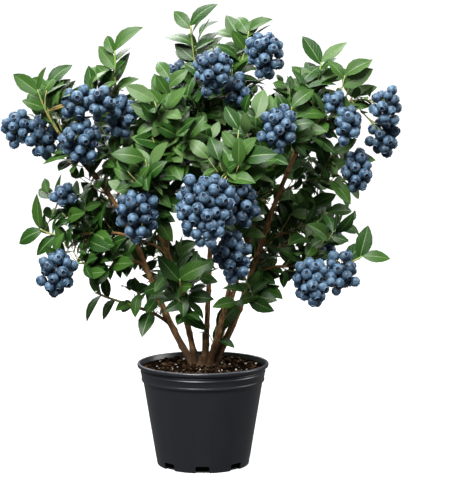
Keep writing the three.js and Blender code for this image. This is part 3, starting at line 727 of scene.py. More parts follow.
class Growth:
    """Grows twigs and leaves one by one, each where it fits among those before it."""

    def __init__(self, clearance, size):
        self.clearance = clearance
        self.size = size
        self.spines = []
        self.twigs = []
        self.leaves = []

    def dress(self, skeleton, twig, offered, apart=None, on_fruit=False):
        """Sets those of a twig's leaves that fit, and gives how far up it they reach."""
        fits = self.clearance.leaf_fits
        kept = [leaf for leaf in offered if fits(skeleton, leaf, apart, on_fruit)]
        self.leaves.extend(kept)
        return max((share_at(twig, leaf.root) for leaf in kept), default=0)

    def grow(self, skeleton, twig, bare, reach=0):
        """Dresses a twig and keeps it, cut back to its last leaf or to the reach of its own twigs."""
        offered = leaves_along(skeleton, twig, bare, self.size)
        reach = max(reach, self.dress(skeleton, twig, offered))
        if reach:
            self.twigs.append(twig.cut_at(reach))
        return reach

    def grow_shoot(self, skeleton, shoot):
        """Dresses a clean shoot, and gives how far up it its leaves reach."""
        return self.dress(skeleton, shoot, shoot_leaves(skeleton, shoot, self.size), SHOOT_SPACE)

    def grow_spray(self, skeleton):
        """The clean shoot at a spray's end, then its trusses' leaves, side shoots and twigs."""
        spray, spine = skeleton.spray, skeleton.spine
        clean = max(SHORTEST_BRANCHING, 1 - SHOOTS.get(spray.name, SHORT_SHOOT) / spine.length)
        branching = between(spine.span, clean)
        end = self.grow_shoot(skeleton, spine.cut_at(SHOOT_ENDS.get(spray.name, 1.0), branching))
        for truss in skeleton.trusses:
            offered = raceme_leaves(skeleton, truss, self.size)
            self.dress(skeleton, spine, offered, RACEME_SPACE, on_fruit=True)
            end = max(end, share_at(spine, truss.start))
        self.spines.append(spine.cut_at(max(end, branching), spine.span[0]))
        for share in RISERS if spray.tip[2] > LOW_SPRAY else ():
            self.grow_riser(skeleton, min(share * clean, RISER_HIGHEST))
        below = spine.cut_at(branching, spine.span[0])
        self.dress(skeleton, below, leaves_along(skeleton, below, SPINE_BARE, self.size))
        self.grow_side_twigs(skeleton, clean)
        leafy = spray.bough * BARE_BOUGH
        count = max(4, int(spine.curve.length() * (1 - leafy) / (SPUR_EVERY * openness(spray))))
        self.grow_spurs(skeleton, spine, np.linspace(leafy, branching, count))

    def grow_riser(self, skeleton, along, lean=0.0):
        """Grows a side shoot where it fits."""
        share = between(skeleton.spine.span, along)
        riser = riser_from(skeleton.spine, share, skeleton.random, lean)
        if self.clearance.twig_fits(skeleton, riser):
            reach = self.grow_shoot(skeleton, riser)
            if reach:
                self.twigs.append(riser.cut_at(reach))

    def grow_inside(self, skeleton, stem):
        """What fills the bush's heart: spurs on the stems, and shoots that lean back."""
        name = skeleton.spray.name
        if name in STEM_SPURS:
            self.grow_spurs(skeleton, stem, np.linspace(*STEM_SPURS[name], STEM_SPUR_COUNT))
        for along in BACK_SHOOTS.get(name, ()):
            self.grow_riser(skeleton, along, BACK_LEAN)

    def grow_side_twigs(self, skeleton, clean):
        """Grows the spray's own side twigs below its clean shoot, each with its finer ones first."""
        for i, twig in enumerate(skeleton.twigs):
            in_shoot = (i + 1) / (len(skeleton.twigs) + 1) > clean
            if in_shoot or not self.clearance.twig_fits(skeleton, twig):
                continue
            reach = 0
            finer = finer_twigs(twig, FINE_SHARES, twig.length, skeleton.random)
            for share, fine in zip(FINE_SHARES, finer):
                if self.clearance.twig_fits(skeleton, fine) and self.grow(skeleton, fine, FINE_BARE):
                    reach = share
            self.grow(skeleton, twig, SIDE_BARE, reach)

    def grow_spurs(self, skeleton, limb, shares):
        """Grows the spurs that fit, at shares of a limb's curve."""
        longest = skeleton.spray.spread * SPUR_REACH
        for spur in finer_twigs(limb, shares, longest, skeleton.random):
            if self.clearance.twig_fits(skeleton, spur):
                self.grow(skeleton, spur, FINE_BARE)


@lru_cache(maxsize=1)
def grown_bush(leaf_length, leaf_width, leaf_every):
    """The whole plant: its limbs, twigs, leaves and berries, in millimetres."""
    stems = {name: stem_limb(stem) for name, stem in STEMS.items()}
    branches = [branch_limb(spray, stems[spray.stem]) for spray in SPRAYS]
    boughs = [limb.cut_at(spray.bough) for spray, limb in zip(SPRAYS, branches) if spray.bough]
    limbs = [*stems.values(), *boughs]
    skeletons = [skeleton_of(spray, branches[i], i + 1) for i, spray in enumerate(SPRAYS)]
    berries, radii = pack_berries(skeletons, limbs)
    clearance = Clearance(skeletons, np.column_stack((berries, radii)), stems, limbs)
    growth = Growth(clearance, (leaf_length, leaf_width, leaf_every))
    for skeleton in skeletons:
        growth.grow_spray(skeleton)
    for skeleton in skeletons:
        growth.grow_inside(skeleton, stems[skeleton.spray.stem])
    return Bush(stems, boughs, growth.spines, growth.twigs, growth.leaves, berries, radii, skeletons)


# ---- Shapes that are repeated ------------------------------------------------------

Shape = namedtuple("Shape", "points faces slots uvs")


def shape_from(bm):
    """The points, faces, material slots and UV corners of a modelled shape."""
    bm.verts.index_update()
    points = np.array([vert.co for vert in bm.verts])
    faces = [tuple(vert.index for vert in face.verts) for face in bm.faces]
    slots = np.array([face.material_index for face in bm.faces])
    layer = bm.loops.layers.uv.active
    uvs = [loop[layer].uv.copy() if layer else (0, 0) for face in bm.faces for loop in face.loops]
    bm.free()
    return Shape(points, faces, slots, np.array(uvs))


class Heap:
    """Copies of modelled shapes, gathered into one mesh."""

    def __init__(self):
        self.points = []
        self.faces = []
        self.slots = []
        self.uvs = []
        self.count = 0

    def add(self, shape, points, slots=None, uvs=None):
        self.points.append(points)
        self.faces.extend(tuple(index + self.count for index in face) for face in shape.faces)
        self.slots.append(shape.slots if slots is None else slots)
        self.uvs.append(shape.uvs if uvs is None else uvs)
        self.count += len(points)

    def add_limb(self, limb, sides, steps, relief=None, green_from=1.1):
        """A tube along a limb, green (slot 1) past a share of the way to its tip."""
        shape, points, uvs = bend(limb, sides, steps, relief)
        slots = (face_shares(sides, steps) > green_from).astype(int)
        self.add(shape, points, slots=slots, uvs=uvs)

    def piece(self, name, materials, sharp=None):
        """One smooth object, in metres. Edges past an angle in degrees stay sharp if it is given."""
        mesh = bpy.data.meshes.new(name)
        mesh.from_pydata(np.vstack(self.points) * MM, [], self.faces)
        mesh.polygons.foreach_set("material_index", np.concatenate(self.slots).astype(np.int32))
        layer = mesh.uv_layers.new(name="UVMap")
        layer.data.foreach_set("uv", np.vstack(self.uvs).astype(np.float32).ravel())
        mesh.update()
        piece = linked(name, mesh, materials)
        if sharp is not None:
            mesh.set_sharp_from_angle(angle=math.radians(sharp))
        return piece


def linked(name, mesh, materials, smooth=True):
    """An object of a mesh, in the scene."""
    for material in materials:
        mesh.materials.append(material)
    if smooth:
        mesh.shade_smooth()
    piece = bpy.data.objects.new(name, mesh)
    bpy.context.scene.collection.objects.link(piece)
    return piece


def finished(bm, name, materials, smooth=True):
    """An object of a bmesh, which is freed."""
    mesh = bpy.data.meshes.new(name)
    bm.to_mesh(mesh)
    bm.free()
    return linked(name, mesh, materials, smooth)


@lru_cache(maxsize=None)
def tube_shape(sides, steps):
    """A capped tube round Z from 0 to 1, with UVs that run round it and along it."""
    bm = bmesh.new()
    bmesh.ops.create_cone(bm, cap_ends=True, segments=sides, radius1=1, radius2=1, depth=1)
    bmesh.ops.translate(bm, verts=bm.verts, vec=(0, 0, 0.5))
    if steps > 1:
        long = [edge for edge in bm.edges if abs(edge.verts[0].co.z - edge.verts[1].co.z) > 0.5]
        bmesh.ops.subdivide_edges(bm, edges=long, cuts=steps - 1, use_grid_fill=True)
    layer = bm.loops.layers.uv.new("UVMap")
    for face in bm.faces:
        middle = face.calc_center_median()
        turn = math.atan2(middle.y, middle.x)
        for loop in face.loops:
            co = loop.vert.co
            corner = math.atan2(co.y, co.x)
            corner += FULL_TURN * round((turn - corner) / FULL_TURN)
            loop[layer].uv = (corner / FULL_TURN, co.z)
    return shape_from(bm)


@lru_cache(maxsize=None)
def face_shares(sides, steps):
    """How far along the tube each face lies."""
    shape = tube_shape(sides, steps)
    return np.array([shape.points[list(face), 2].mean() for face in shape.faces])


def bend(limb, sides, steps, relief=None):
    """A tube bent along a limb. Gives its points, and its UVs with millimetres along it."""
    shape = tube_shape(sides, steps)
    across = radial(unit(limb.curve.at(1) - limb.curve.at(0)), 0)
    share = between(limb.span, shape.points[:, 2])
    thick = limb.thickness(share)
    if relief is not None:
        turn = np.arctan2(shape.points[:, 1], shape.points[:, 0])
        thick = thick + relief(turn, share * limb.curve.length(), thick)
    heading = limb.curve.heading(share)
    back = unit(np.cross(across, heading))
    side = np.cross(heading, back)
    points = limb.curve.at(share)
    points = points + side * (shape.points[:, 0] * thick)[:, None]
    points = points + back * (shape.points[:, 1] * thick)[:, None]
    uvs = shape.uvs * (1, limb.length)
    return shape, points, uvs


# ---- Paint -------------------------------------------------------------------------


class Value:
    """A shader socket that can stand in an expression of numbers."""

    def __init__(self, paint, socket):
        self.paint = paint
        self.socket = socket

    def math(self, operation, *values):
        inputs = {f"Value_{i:03d}" if i else "Value": value for i, value in enumerate(values)}
        return self.paint.node("ShaderNodeMath", {"operation": operation}, inputs, "Value")

    def __add__(self, other):
        return self.math("ADD", self, other)

    def __sub__(self, other):
        return self.math("SUBTRACT", self, other)

    def __rsub__(self, other):
        return self.math("SUBTRACT", other, self)

    def __mul__(self, other):
        return self.math("MULTIPLY", self, other)

    __radd__ = __add__
    __rmul__ = __mul__

    def absolute(self):
        return self.math("ABSOLUTE", self)

    def fraction(self):
        return self.math("FRACT", self)

    def clear_of(self, low, high):
        """0 below low, 1 above high, and smooth between them."""
        sockets = {"Value": self, "From Min": low, "From Max": high}
        settings = {"interpolation_type": "SMOOTHSTEP"}
        return self.paint.node("ShaderNodeMapRange", settings, sockets, "Result")


class Paint:
    """A material, written as expressions on its nodes."""

    def __init__(self, name):
        self.material = bpy.data.materials.new(name)
        self.material.use_nodes = True
        self.tree = self.material.node_tree
        self.tree.nodes.clear()

    def node(self, kind, settings, sockets, output=None):
        """Adds a node, sets it, and gives the value of one of its outputs."""
        made = self.tree.nodes.new(kind)
        for name, value in settings.items():
            setattr(made, name, value)
        for name, value in sockets.items():
            socket = next(socket for socket in made.inputs if socket.identifier == name)
            if isinstance(value, Value):
                self.tree.links.new(value.socket, socket)
            elif socket.type == "RGBA":
                socket.default_value = (*value, 1)
            else:
                socket.default_value = value
        if output is None:
            return None
        return Value(self, next(socket for socket in made.outputs if socket.identifier == output))

    def coordinates(self, output="Object"):
        return self.node("ShaderNodeTexCoord", {}, {}, output)

    def part(self, vector, axis):
        """One of a vector's three numbers, by the name of its axis."""
        return self.node("ShaderNodeSeparateXYZ", {}, {"Vector": vector}, axis)

    def mapped(self, vector, scale):
        return self.node("ShaderNodeMapping", {}, {"Vector": vector, "Scale": scale}, "Vector")

    def noise(self, vector, scale, detail=3, rough=0.5):
        sockets = {"Vector": vector, "Scale": scale, "Detail": detail, "Roughness": rough}
        return self.node("ShaderNodeTexNoise", {}, sockets, "Fac")

    def mix(self, share, low, high):
        """A colour between two colours."""
        sockets = {"Factor_Float": share, "A_Color": low, "B_Color": high}
        return self.node("ShaderNodeMix", {"data_type": "RGBA"}, sockets, "Result_Color")

    def bump(self, height, distance, strength):
        sockets = {"Height": height, "Distance": distance, "Strength": strength}
        return self.node("ShaderNodeBump", {}, sockets, "Normal")

    def finish(self, **sockets):
        """The surface shader. Sockets are named in lower case with underscores."""
        titles = (name.replace("_", " ").title().replace("Ior", "IOR") for name in sockets)
        named = dict(zip(titles, sockets.values()))
        surface = self.node("ShaderNodeBsdfPrincipled", {}, named, "BSDF")
        self.node("ShaderNodeOutputMaterial", {}, {"Surface": surface})
        return self.material


def dimmed(colour, share):
    return tuple(part * share for part in colour)


def pot_plastic(colour):
    """Fine-grained black plastic, dusty in patches and paler along the top of the lip, partly wear and
    partly a painted highlight.
    """
    paint = Paint("pot_plastic")
    place = paint.coordinates()
    grain = paint.noise(place, 900)
    smudge = paint.noise(paint.mapped(place, (1, 1, 0.5)), 14, detail=5)
    shade = paint.mix(smudge.clear_of(0.5, 0.8) * 0.5, colour, (0.0167, 0.0186, 0.023))
    # The lip's pale top edge: partly scuffed plastic, partly a painted highlight.
    lip = paint.part(place, "Z").clear_of(POT_HIGH.z - 1.5 * MM, POT_HIGH.z - 0.3 * MM)
    worn_and_highlit = lip * smudge.clear_of(0.3, 0.6)
    shade = paint.mix(worn_and_highlit * 0.8, shade, (0.0784, 0.0833, 0.0931))
    return paint.finish(
        base_color=shade,
        roughness=0.26 + smudge * 0.12,
        specular_ior_level=0.46,
        normal=paint.bump(grain, 0.0002, 0.5),
    )


def compost(name, dark, light):
    """Matt crumbs, darker in their hollows as painted shade, and in random patches."""
    paint = Paint(name)
    place = paint.coordinates()
    crumb = paint.noise(place, 420, detail=5, rough=0.65)
    patch = paint.noise(place, 60)
    # Where the crumbs' bump is low the colour goes to dark: painted shade in the hollows.
    shade = paint.mix((crumb * 0.7 + patch * 0.3).clear_of(0.38, 0.66), dark, light)
    return paint.finish(
        base_color=shade,
        roughness=0.95,
        specular_ior_level=0.0,
        normal=paint.bump(crumb, 0.002, 0.9),
    )


def bark(name, colour, pale):
    """Bark with fine ridges along the limb, painted dark in the grooves between them as painted shade,
    weathered in patches and darker near the soil.

    Its UVs run round the limb and along it in millimetres.
    """
    paint = Paint(name)
    along = paint.mapped(paint.coordinates("UV"), (8, 0.05, 1))
    place = paint.coordinates()
    ridges = paint.noise(along, 1.6, detail=6, rough=0.65)
    patch = paint.noise(place, 75, detail=4, rough=0.6)
    # The grooves between the ridges go dark: painted shade.
    shade = paint.mix(ridges.clear_of(0.38, 0.62), dimmed(colour, 0.22), colour)
    shade = paint.mix(patch.clear_of(0.54, 0.68) * 0.8, shade, pale)
    # Darker towards the soil, below a wavy line a few centimetres above the ground.
    height = patch * 0.05 + paint.part(place, "Z")
    clean = height.clear_of(GROUND * MM + 0.03, GROUND * MM + 0.1)
    shade = paint.mix(clean, dimmed(colour, 0.12), shade)
    return paint.finish(
        base_color=shade,
        roughness=0.55 + patch * 0.25,
        specular_ior_level=0.3,
        normal=paint.bump(ridges + patch * 0.4, 0.002, 1.0),
    )


def shoot(name, colour, warm):
    """Green skin with warmer patches."""
    paint = Paint(name)
    patch = paint.noise(paint.coordinates(), 70)
    shade = paint.mix(patch.clear_of(0.42, 0.62), colour, warm)
    return paint.finish(base_color=shade, roughness=0.5, normal=paint.bump(patch, 0.0005, 0.4))


def leaf_blade(name, colour):
    """A waxy blade. The side veins follow its UVs, from the rib out to the edges."""
    paint = Paint(name)
    flat = paint.coordinates("UV")
    from_rib = (paint.part(flat, "X") - 0.5).absolute()
    wave = (paint.part(flat, "Y") * 7 - from_rib * 5).fraction()
    vein = (wave - 0.5).absolute().clear_of(0.4, 0.5)
    patch = paint.noise(paint.coordinates(), 55, detail=4)
    pale = tuple(part * 1.4 + 0.045 for part in colour)
    shade = paint.mix(patch.clear_of(0.34, 0.68), dimmed(colour, 0.78), colour)
    shade = paint.mix(vein * 0.55, shade, pale)
    return paint.finish(
        base_color=shade,
        roughness=0.36 + patch * 0.12,
        specular_ior_level=0.22,
        normal=paint.bump(patch * 0.5 - vein * 0.5, 0.0006, 0.6),
    )


def berry_skin(name, colour, bloom):
    """Dark skin under a pale waxy bloom that is rubbed thin in patches."""
    paint = Paint(name)
    place = paint.coordinates()
    rubbed = paint.noise(place, 120, detail=4, rough=0.6)
    grain = paint.noise(place, 900, detail=2)
    cover = (rubbed * 0.75 + grain * 0.25).clear_of(0.35, 0.62)
    shade = paint.mix(cover, colour, bloom)
    return paint.finish(
        base_color=shade,
        roughness=0.38 + cover * 0.12,
        specular_ior_level=0.32,
        normal=paint.bump(grain, 0.0002, 0.4),
    )


def grained(name, colour, roughness, specular=0.4):
    """One colour with a fine grain, for the small things."""
    paint = Paint(name)
    grain = paint.noise(paint.coordinates(), 300)
    shade = paint.mix(grain.clear_of(0.3, 0.7), dimmed(colour, 0.75), colour)
    return paint.finish(
        base_color=shade,
        roughness=roughness,
        specular_ior_level=specular,
        normal=paint.bump(grain, 0.0004, 0.5),
    )


# ---- The settings ------------------------------------------------------------------


def size(name, description, millimetres):
    return FloatProperty(name=name, description=description, default=millimetres * MM, min=0,
                         precision=4, unit="LENGTH")


def colour(name, description, default):
    return FloatVectorProperty(name=name, description=description, default=default, size=3,
                               min=0, max=1, subtype="COLOR")


class BushPotSettings(bpy.types.PropertyGroup):
    """The pot. Its rim and its height are the frame's."""

    rim_radius: size("Rim radius", "Outer radius of the lip", (POT_HIGH.x - POT_LOW.x) / 2 / MM)
    height: size("Height", "From the ground to the top of the lip", POT_HIGH.z / MM)
    base_radius: size("Base radius", "Outer radius of the foot", 70)
    band_radius: size("Band radius", "Radius of the upright band under the lip", 95)
    band_height: size("Band height", "From the band's lower step to the top", 26)
    wall: size("Wall", "Thickness of the wall", 2.4)
    slots: IntProperty(name="Slots", description="Drainage slots round the foot", default=8, min=0)
    plastic: colour("Plastic", "Colour of the pot", (0.0107, 0.0122, 0.0156))


class BushCompostSettings(bpy.types.PropertyGroup):
    """The compost in the pot."""

    clods: size("Clods", "How far the surface rises and dips", 2.2)
    chips: IntProperty(name="Chips", description="Bits of bark on the surface", default=420, min=0)
    grains: IntProperty(name="Grains", description="White grains in it", default=70, min=0)
    fibres: IntProperty(name="Fibres", description="Straws on the surface", default=34, min=0)
    # Dark is the painted shade in the compost's hollows.
    dark: colour("Dark", "Colour in the hollows", (0.0022, 0.0015, 0.0011))
    light: colour("Light", "Colour of the crumbs", (0.0098, 0.006, 0.0039))


class BushBarkSettings(bpy.types.PropertyGroup):
    """The stems and boughs."""

    ridge: size("Ridge", "Depth of the bark's ridges", 0.6)
    node_swell: size("Node swell", "How far a stem swells where it bore a shoot", 1.5)
    node_every: size("Node spacing", "Between those swellings", 27)
    colour: colour("Bark", "Colour of the bark", (0.45, 0.235, 0.092))
    pale: colour("Pale", "Colour where the bark has weathered", (0.546, 0.332, 0.137))


class BushLeafSettings(bpy.types.PropertyGroup):
    """The leaves."""

    length: size("Length", "Of a leaf of middle size", 46)
    width: size("Width", "Of a leaf of middle size", 22.5)
    every: size("Spacing", "Between leaves along a twig", 7)
    # The dark tint is also most of the low sprays' leaves, as painted shade under the crown.
    dark: colour("Dark", "Old leaves", (0.0105, 0.047, 0.0026))
    middle: colour("Middle", "Most leaves", (0.027, 0.079, 0.0075))
    light: colour("Light", "Younger leaves", (0.0476, 0.108, 0.0205))
    young: colour("Young", "Leaves at the tips of shoots", (0.069, 0.131, 0.0356))
    under: colour("Under", "The paler underside", (0.0513, 0.108, 0.0284))


class BushBerrySettings(bpy.types.PropertyGroup):
    """The berries."""

    flatness: FloatProperty(name="Flatness", description="Height over width", default=0.9, min=0.5, max=1)
    skin: colour("Skin", "Colour where the bloom is rubbed thin", (0.0008, 0.0092, 0.0308))
    bloom: colour("Bloom", "Colour of the waxy bloom", (0.088, 0.158, 0.236))
    cup: colour("Cup", "Colour of the cup at the end", (0.0059, 0.0123, 0.0294))


class BushSettings(bpy.types.PropertyGroup):
    """All the settings of the bush."""

    pot: PointerProperty(type=BushPotSettings)
    compost: PointerProperty(type=BushCompostSettings)
    bark: PointerProperty(type=BushBarkSettings)
    leaf: PointerProperty(type=BushLeafSettings)
    berry: PointerProperty(type=BushBerrySettings)


def bush_for(settings):
    """The plant for the leaves' size and spacing, grown once for all the pieces."""
    leaf = settings.leaf
    return grown_bush(leaf.length / MM, leaf.width / MM, leaf.every / MM)


# ---- The pot -----------------------------------------------------------------------


def rounded(corners):
    """An outline from corners (radius from the axis, height, rounding), in millimetres."""
    points = []
    for i, (x, z, rounding) in enumerate(corners):
        here = np.array((x, z), float)
        if not rounding:
            points.append(here)
            continue
        before = np.array(corners[i - 1][:2], float)
        after = np.array(corners[i + 1][:2], float)
        curve = Bezier(here + unit(before - here) * rounding, here, here + unit(after - here) * rounding)
        points.extend(curve.at(np.linspace(0, 1, 5)))
    return points


def spun(outline, steps):
    """A shell turned about Z from an outline in millimetres, closed if both its ends are on Z."""
    bm = bmesh.new()
    verts = [bm.verts.new((x * MM, 0, z * MM)) for x, z in outline]
    edges = [bm.edges.new(pair) for pair in zip(verts, verts[1:])]
    bmesh.ops.spin(bm, geom=verts + edges, cent=(0, 0, 0), axis=(0, 0, 1), angle=FULL_TURN,
                   steps=steps, use_merge=True, use_duplicate=False)
    bmesh.ops.remove_doubles(bm, verts=bm.verts, dist=1e-6)
    bmesh.ops.recalc_face_normals(bm, faces=bm.faces)
    return bm


def pot_outline(pot):
    """From the middle of the underside, out, up and over the lip, and down to the inner floor."""
    rim, height, base = pot.rim_radius / MM, pot.height / MM, pot.base_radius / MM
    band, wall = pot.band_radius / MM, pot.wall / MM
    step = height - pot.band_height / MM
    corners = [
        (0, 1.2, 0), (base - 18, 1.2, 0.6), (base - 16, 0, 0.6), (base, 0, 2.2),
        (band - 4.2, step - 2.5, 1.2), (band - 1.6, step - 1.2, 0.9), (band - 1.3, step + 1.6, 0.8),
        (band - 1.9, step + 2.6, 0.5),
    ]
    for ridge in (height - 13.5, height - 10):
        corners += [(band - 0.5, ridge - 1, 0), (band + 0.35, ridge, 0.4), (band - 0.4, ridge + 1, 0)]
    corners += [
        (band, height - 7.5, 0.8), (rim - 0.6, height - 5.6, 0.8), (rim, height - 1.6, 1.1),
        (rim - 1.6, height, 1.0), (rim - 4.6, height - 0.2, 1.0), (rim - 5.6, height - 3, 1.2),
        (band - wall, height - 8, 2), (band - 4.2 - wall, step - 4, 2), (base - wall, 2.6, 1.5), (0, 2.6, 0),
    ]
    return rounded(corners)


SLOT_BLOCK = (16, 21, 22)  # through the wall, along it, and upright, half of it above the ground
SLOT_ROUNDING = 3
SLOT_OUT = 2  # how far outside the wall's foot the block's middle is


def slot_cutter(pot):
    """Blocks, round at their upper corners, that cut the drainage slots through the wall's foot."""
    bm = bmesh.new()
    for i in range(pot.slots):
        block = bmesh.ops.create_cube(bm, size=1)["verts"]
        bmesh.ops.scale(bm, vec=[side * MM for side in SLOT_BLOCK], verts=block)
        corners = [
            edge for edge in {edge for vert in block for edge in vert.link_edges}
            if all(vert.co.z > 0 for vert in edge.verts) and edge.verts[0].co.y * edge.verts[1].co.y > 0
        ]
        bevel = bmesh.ops.bevel(bm, geom=corners, offset=SLOT_ROUNDING * MM, segments=4, profile=0.5,
                                affect="EDGES", material=-1)
        whole = {vert for vert in block if vert.is_valid}
        whole = list(whole.union(*(face.verts for face in bevel["faces"])))
        turn = Matrix.Rotation(i * FULL_TURN / pot.slots, 4, "Z")
        bmesh.ops.translate(bm, vec=(pot.base_radius + SLOT_OUT * MM, 0, 0), verts=whole)
        bmesh.ops.transform(bm, matrix=turn, verts=whole)
    return finished(bm, "slot_cutter", [], smooth=False)


class BUSH_OT_pot(bpy.types.Operator):
    """Turn the nursery pot, with its lip, band and drainage slots"""

    bl_idname = "bush.pot"
    bl_label = "Pot"

    def execute(self, context):
        pot = context.scene.bush.pot
        wall = spun(pot_outline(pot), steps=112)
        piece = finished(wall, "pot_shell", [pot_plastic(pot.plastic)])
        cutter = slot_cutter(pot)
        cut = piece.modifiers.new("slots", "BOOLEAN")
        cut.operation = "DIFFERENCE"
        cut.solver = "EXACT"
        cut.object = cutter
        depsgraph = context.evaluated_depsgraph_get()
        mesh = bpy.data.meshes.new_from_object(piece.evaluated_get(depsgraph))
        piece.modifiers.clear()
        piece.data = mesh
        bpy.data.objects.remove(cutter)
        mesh.set_sharp_from_angle(angle=math.radians(38))
        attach(piece, "root")
        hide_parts("pot")
        return {"FINISHED"}


# ---- The compost -------------------------------------------------------------------

SOIL_RINGS = 34
STOOL_REACH = 20.0  # bits lie outside this


def soil_height(x, y, clods):
    """The compost's surface over a point, in millimetres."""
    edge, top = SOIL_HIGH.x / MM, SOIL_HIGH.z / MM
    out = np.clip(np.hypot(x, y) / edge, 0, 1)
    rough = np.sin(x * 0.31 + 2 * np.sin(y * 0.11)) * np.sin(y * 0.27 + 1.7 * np.sin(x * 0.13))
    fine = np.sin(x * 0.83 + y * 0.41) * np.sin(y * 0.91 - x * 0.37)
    return top - 4 * out**2 + clods * (0.6 * rough + 0.4 * fine) * (1 - 0.5 * out)


def chip_shape(flat, wide, slot):
    """A small broken lump of radius 1, flattened and narrowed."""
    bm = bmesh.new()
    bmesh.ops.create_icosphere(bm, subdivisions=1, radius=1)
    for vert in bm.verts:
        x, y, z = vert.co
        vert.co *= 1 + 0.28 * math.sin(5 * x + 3 * y) + 0.2 * math.sin(4 * z - 6 * y)
    bmesh.ops.scale(bm, vec=(1, wide, flat), verts=bm.verts)
    for face in bm.faces:
        face.material_index = slot
    return shape_from(bm)


def turned(random, tilt):
    """A random turn about Z, tilted a little, as a rotation of rows of points."""
    turn = Matrix.Rotation(random() * FULL_TURN, 3, "Z")
    lean = Matrix.Rotation((random() - 0.5) * 2 * tilt, 3, "X")
    return np.array(turn @ lean).T


def strewn(shape, sizes, tilt, rise, clods, random):
    """The points of a lump that lies on the compost, between the stool and the pot's wall."""
    outer = SOIL_HIGH.x / MM - 4
    reach = math.sqrt(between((STOOL_REACH**2, outer**2), random()))
    bearing = random() * FULL_TURN
    grow = between(sizes, random() ** 1.6)
    x, y = reach * math.cos(bearing), reach * math.sin(bearing)
    z = soil_height(x, y, clods) + grow * rise
    return shape.points @ turned(random, tilt) * grow + (x, y, z)


class BUSH_OT_compost(bpy.types.Operator):
    """Fill the pot with compost, with bits of bark and white grains on it"""

    bl_idname = "bush.compost"
    bl_label = "Compost"

    def execute(self, context):
        settings = context.scene.bush.compost
        clods = settings.clods / MM
        edge, low = SOIL_HIGH.x / MM - 0.2, SOIL_LOW.z / MM
        surface = [(edge * i / SOIL_RINGS, 0) for i in range(SOIL_RINGS + 1)]
        bm = spun([*surface, (edge - 26, low + 1), (0, low)], steps=120)
        for vert in bm.verts:
            if abs(vert.co.z) < 1e-7:
                vert.co.z = soil_height(vert.co.x / MM, vert.co.y / MM, clods) * MM
        bmesh.ops.recalc_face_normals(bm, faces=bm.faces)
        earth = compost("compost_earth", settings.dark, settings.light)
        bed = finished(bm, "compost_bed", [earth])
        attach(bed, "root")
        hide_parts("soil")
        third = settings.chips // 3
        kinds = (  # their number, flatness, width, sizes, tilt, and how high they lie
            (third, 0.3, 0.62, (2.2, 6.5), 0.9, 0.25),
            (third, 0.55, 0.62, (1.6, 4.5), 0.9, 0.25),
            (third, 0.4, 0.62, (1.8, 5), 0.9, 0.25),
            (settings.grains, 0.8, 0.62, (0.7, 2.7), 1.5, 0.4),
            (settings.fibres, 0.06, 0.07, (4, 9), 0.3, 0.12),
        )
        random = Seeded(77)
        heap = Heap()
        for slot, (count, flat, wide, sizes, tilt, rise) in enumerate(kinds):
            shape = chip_shape(flat, wide, slot)
            for _ in range(count):
                heap.add(shape, strewn(shape, sizes, tilt, rise, clods, random))
        chips = heap.piece("compost_bits", [
            grained("bark_bits_brown", (0.0175, 0.0098, 0.0054), 0.9, 0.0),
            grained("bark_bits_dark", (0.0049, 0.0034, 0.0025), 0.95, 0.0),
            grained("bark_bits_tan", (0.0637, 0.0382, 0.0206), 0.9, 0.0),
            grained("perlite", (0.49, 0.47, 0.431), 0.85, 0.0),
            grained("straw", (0.108, 0.0711, 0.0367), 0.8, 0.0),
        ], sharp=35)
        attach(chips, "root")
        return {"FINISHED"}


# ---- Bark --------------------------------------------------------------------------

RING_EVERY = 2.4
STEM_SIDES = 20
BOUGH_SIDES = 14


def bark_relief(bark_settings, seed, flare=0.0):
    """How a stem's surface stands in and out: ridges along it, swollen nodes and a flared foot."""
    random = Seeded(seed)
    ridge, swell = bark_settings.ridge / MM, bark_settings.node_swell / MM
    every = bark_settings.node_every / MM
    phases = [random() * FULL_TURN for _ in range(6)]
    first = random() * every

    def relief(turn, along, thick):
        wander = np.sin(along / 31 + phases[0]) * 1.1 + np.sin(along / 13 + phases[1]) * 0.4
        ridges = np.sin(turn * 5 + wander * 2 + phases[2]) * 0.5
        ridges = ridges + np.sin(turn * 8 - wander * 3 + phases[3]) * 0.3
        ridges = ridges + np.sin(turn * 3 + along / 5 + phases[4]) * 0.2
        node = np.round((along - first) / every)
        near = np.exp(-(((along - first - node * every) / 3.2) ** 2))
        facing = 0.5 + 0.5 * np.cos(turn - node * 2.4 - phases[5])
        foot = flare * np.exp(-along / 11) * (1 + 0.3 * np.sin(turn * 3 + phases[1]))
        slim = thick / 5
        return ridges * ridge * slim + near * facing * swell * slim + foot

    return relief


def stool_points(stems):
    """The stool, a low lumpy foot that swells towards each stem: its shape and its points."""
    shape = tube_shape(48, 12)
    x, y, share = shape.points.T
    turn = np.arctan2(y, x)
    radius = 21 - 10 * share**0.7
    for stem in stems:
        bearing = math.radians(stem.foot[0])
        near = np.exp(2.5 * (np.cos(turn - bearing) - 1))
        radius = radius + near * 4.5 * (1 - share)
    radius = radius + np.sin(turn * 11 + share * 5) * 0.5 + np.sin(turn * 7 - share * 9) * 0.6
    height = GROUND - 5 + 18 * share + np.sin(turn * 3) * 1.2 * share
    out = np.hypot(x, y) * radius
    points = np.column_stack((out * np.cos(turn), out * np.sin(turn), height))
    return shape, points


def old_stub():
    """What is left of the stem that was cut back long ago."""
    foot, top = around(280, 13, GROUND - 3), around(280, 21, GROUND + 50)
    return Limb(Bezier(foot, (foot + top) / 2 + (1.5, 0, 0), top), 5.4, 4.3)


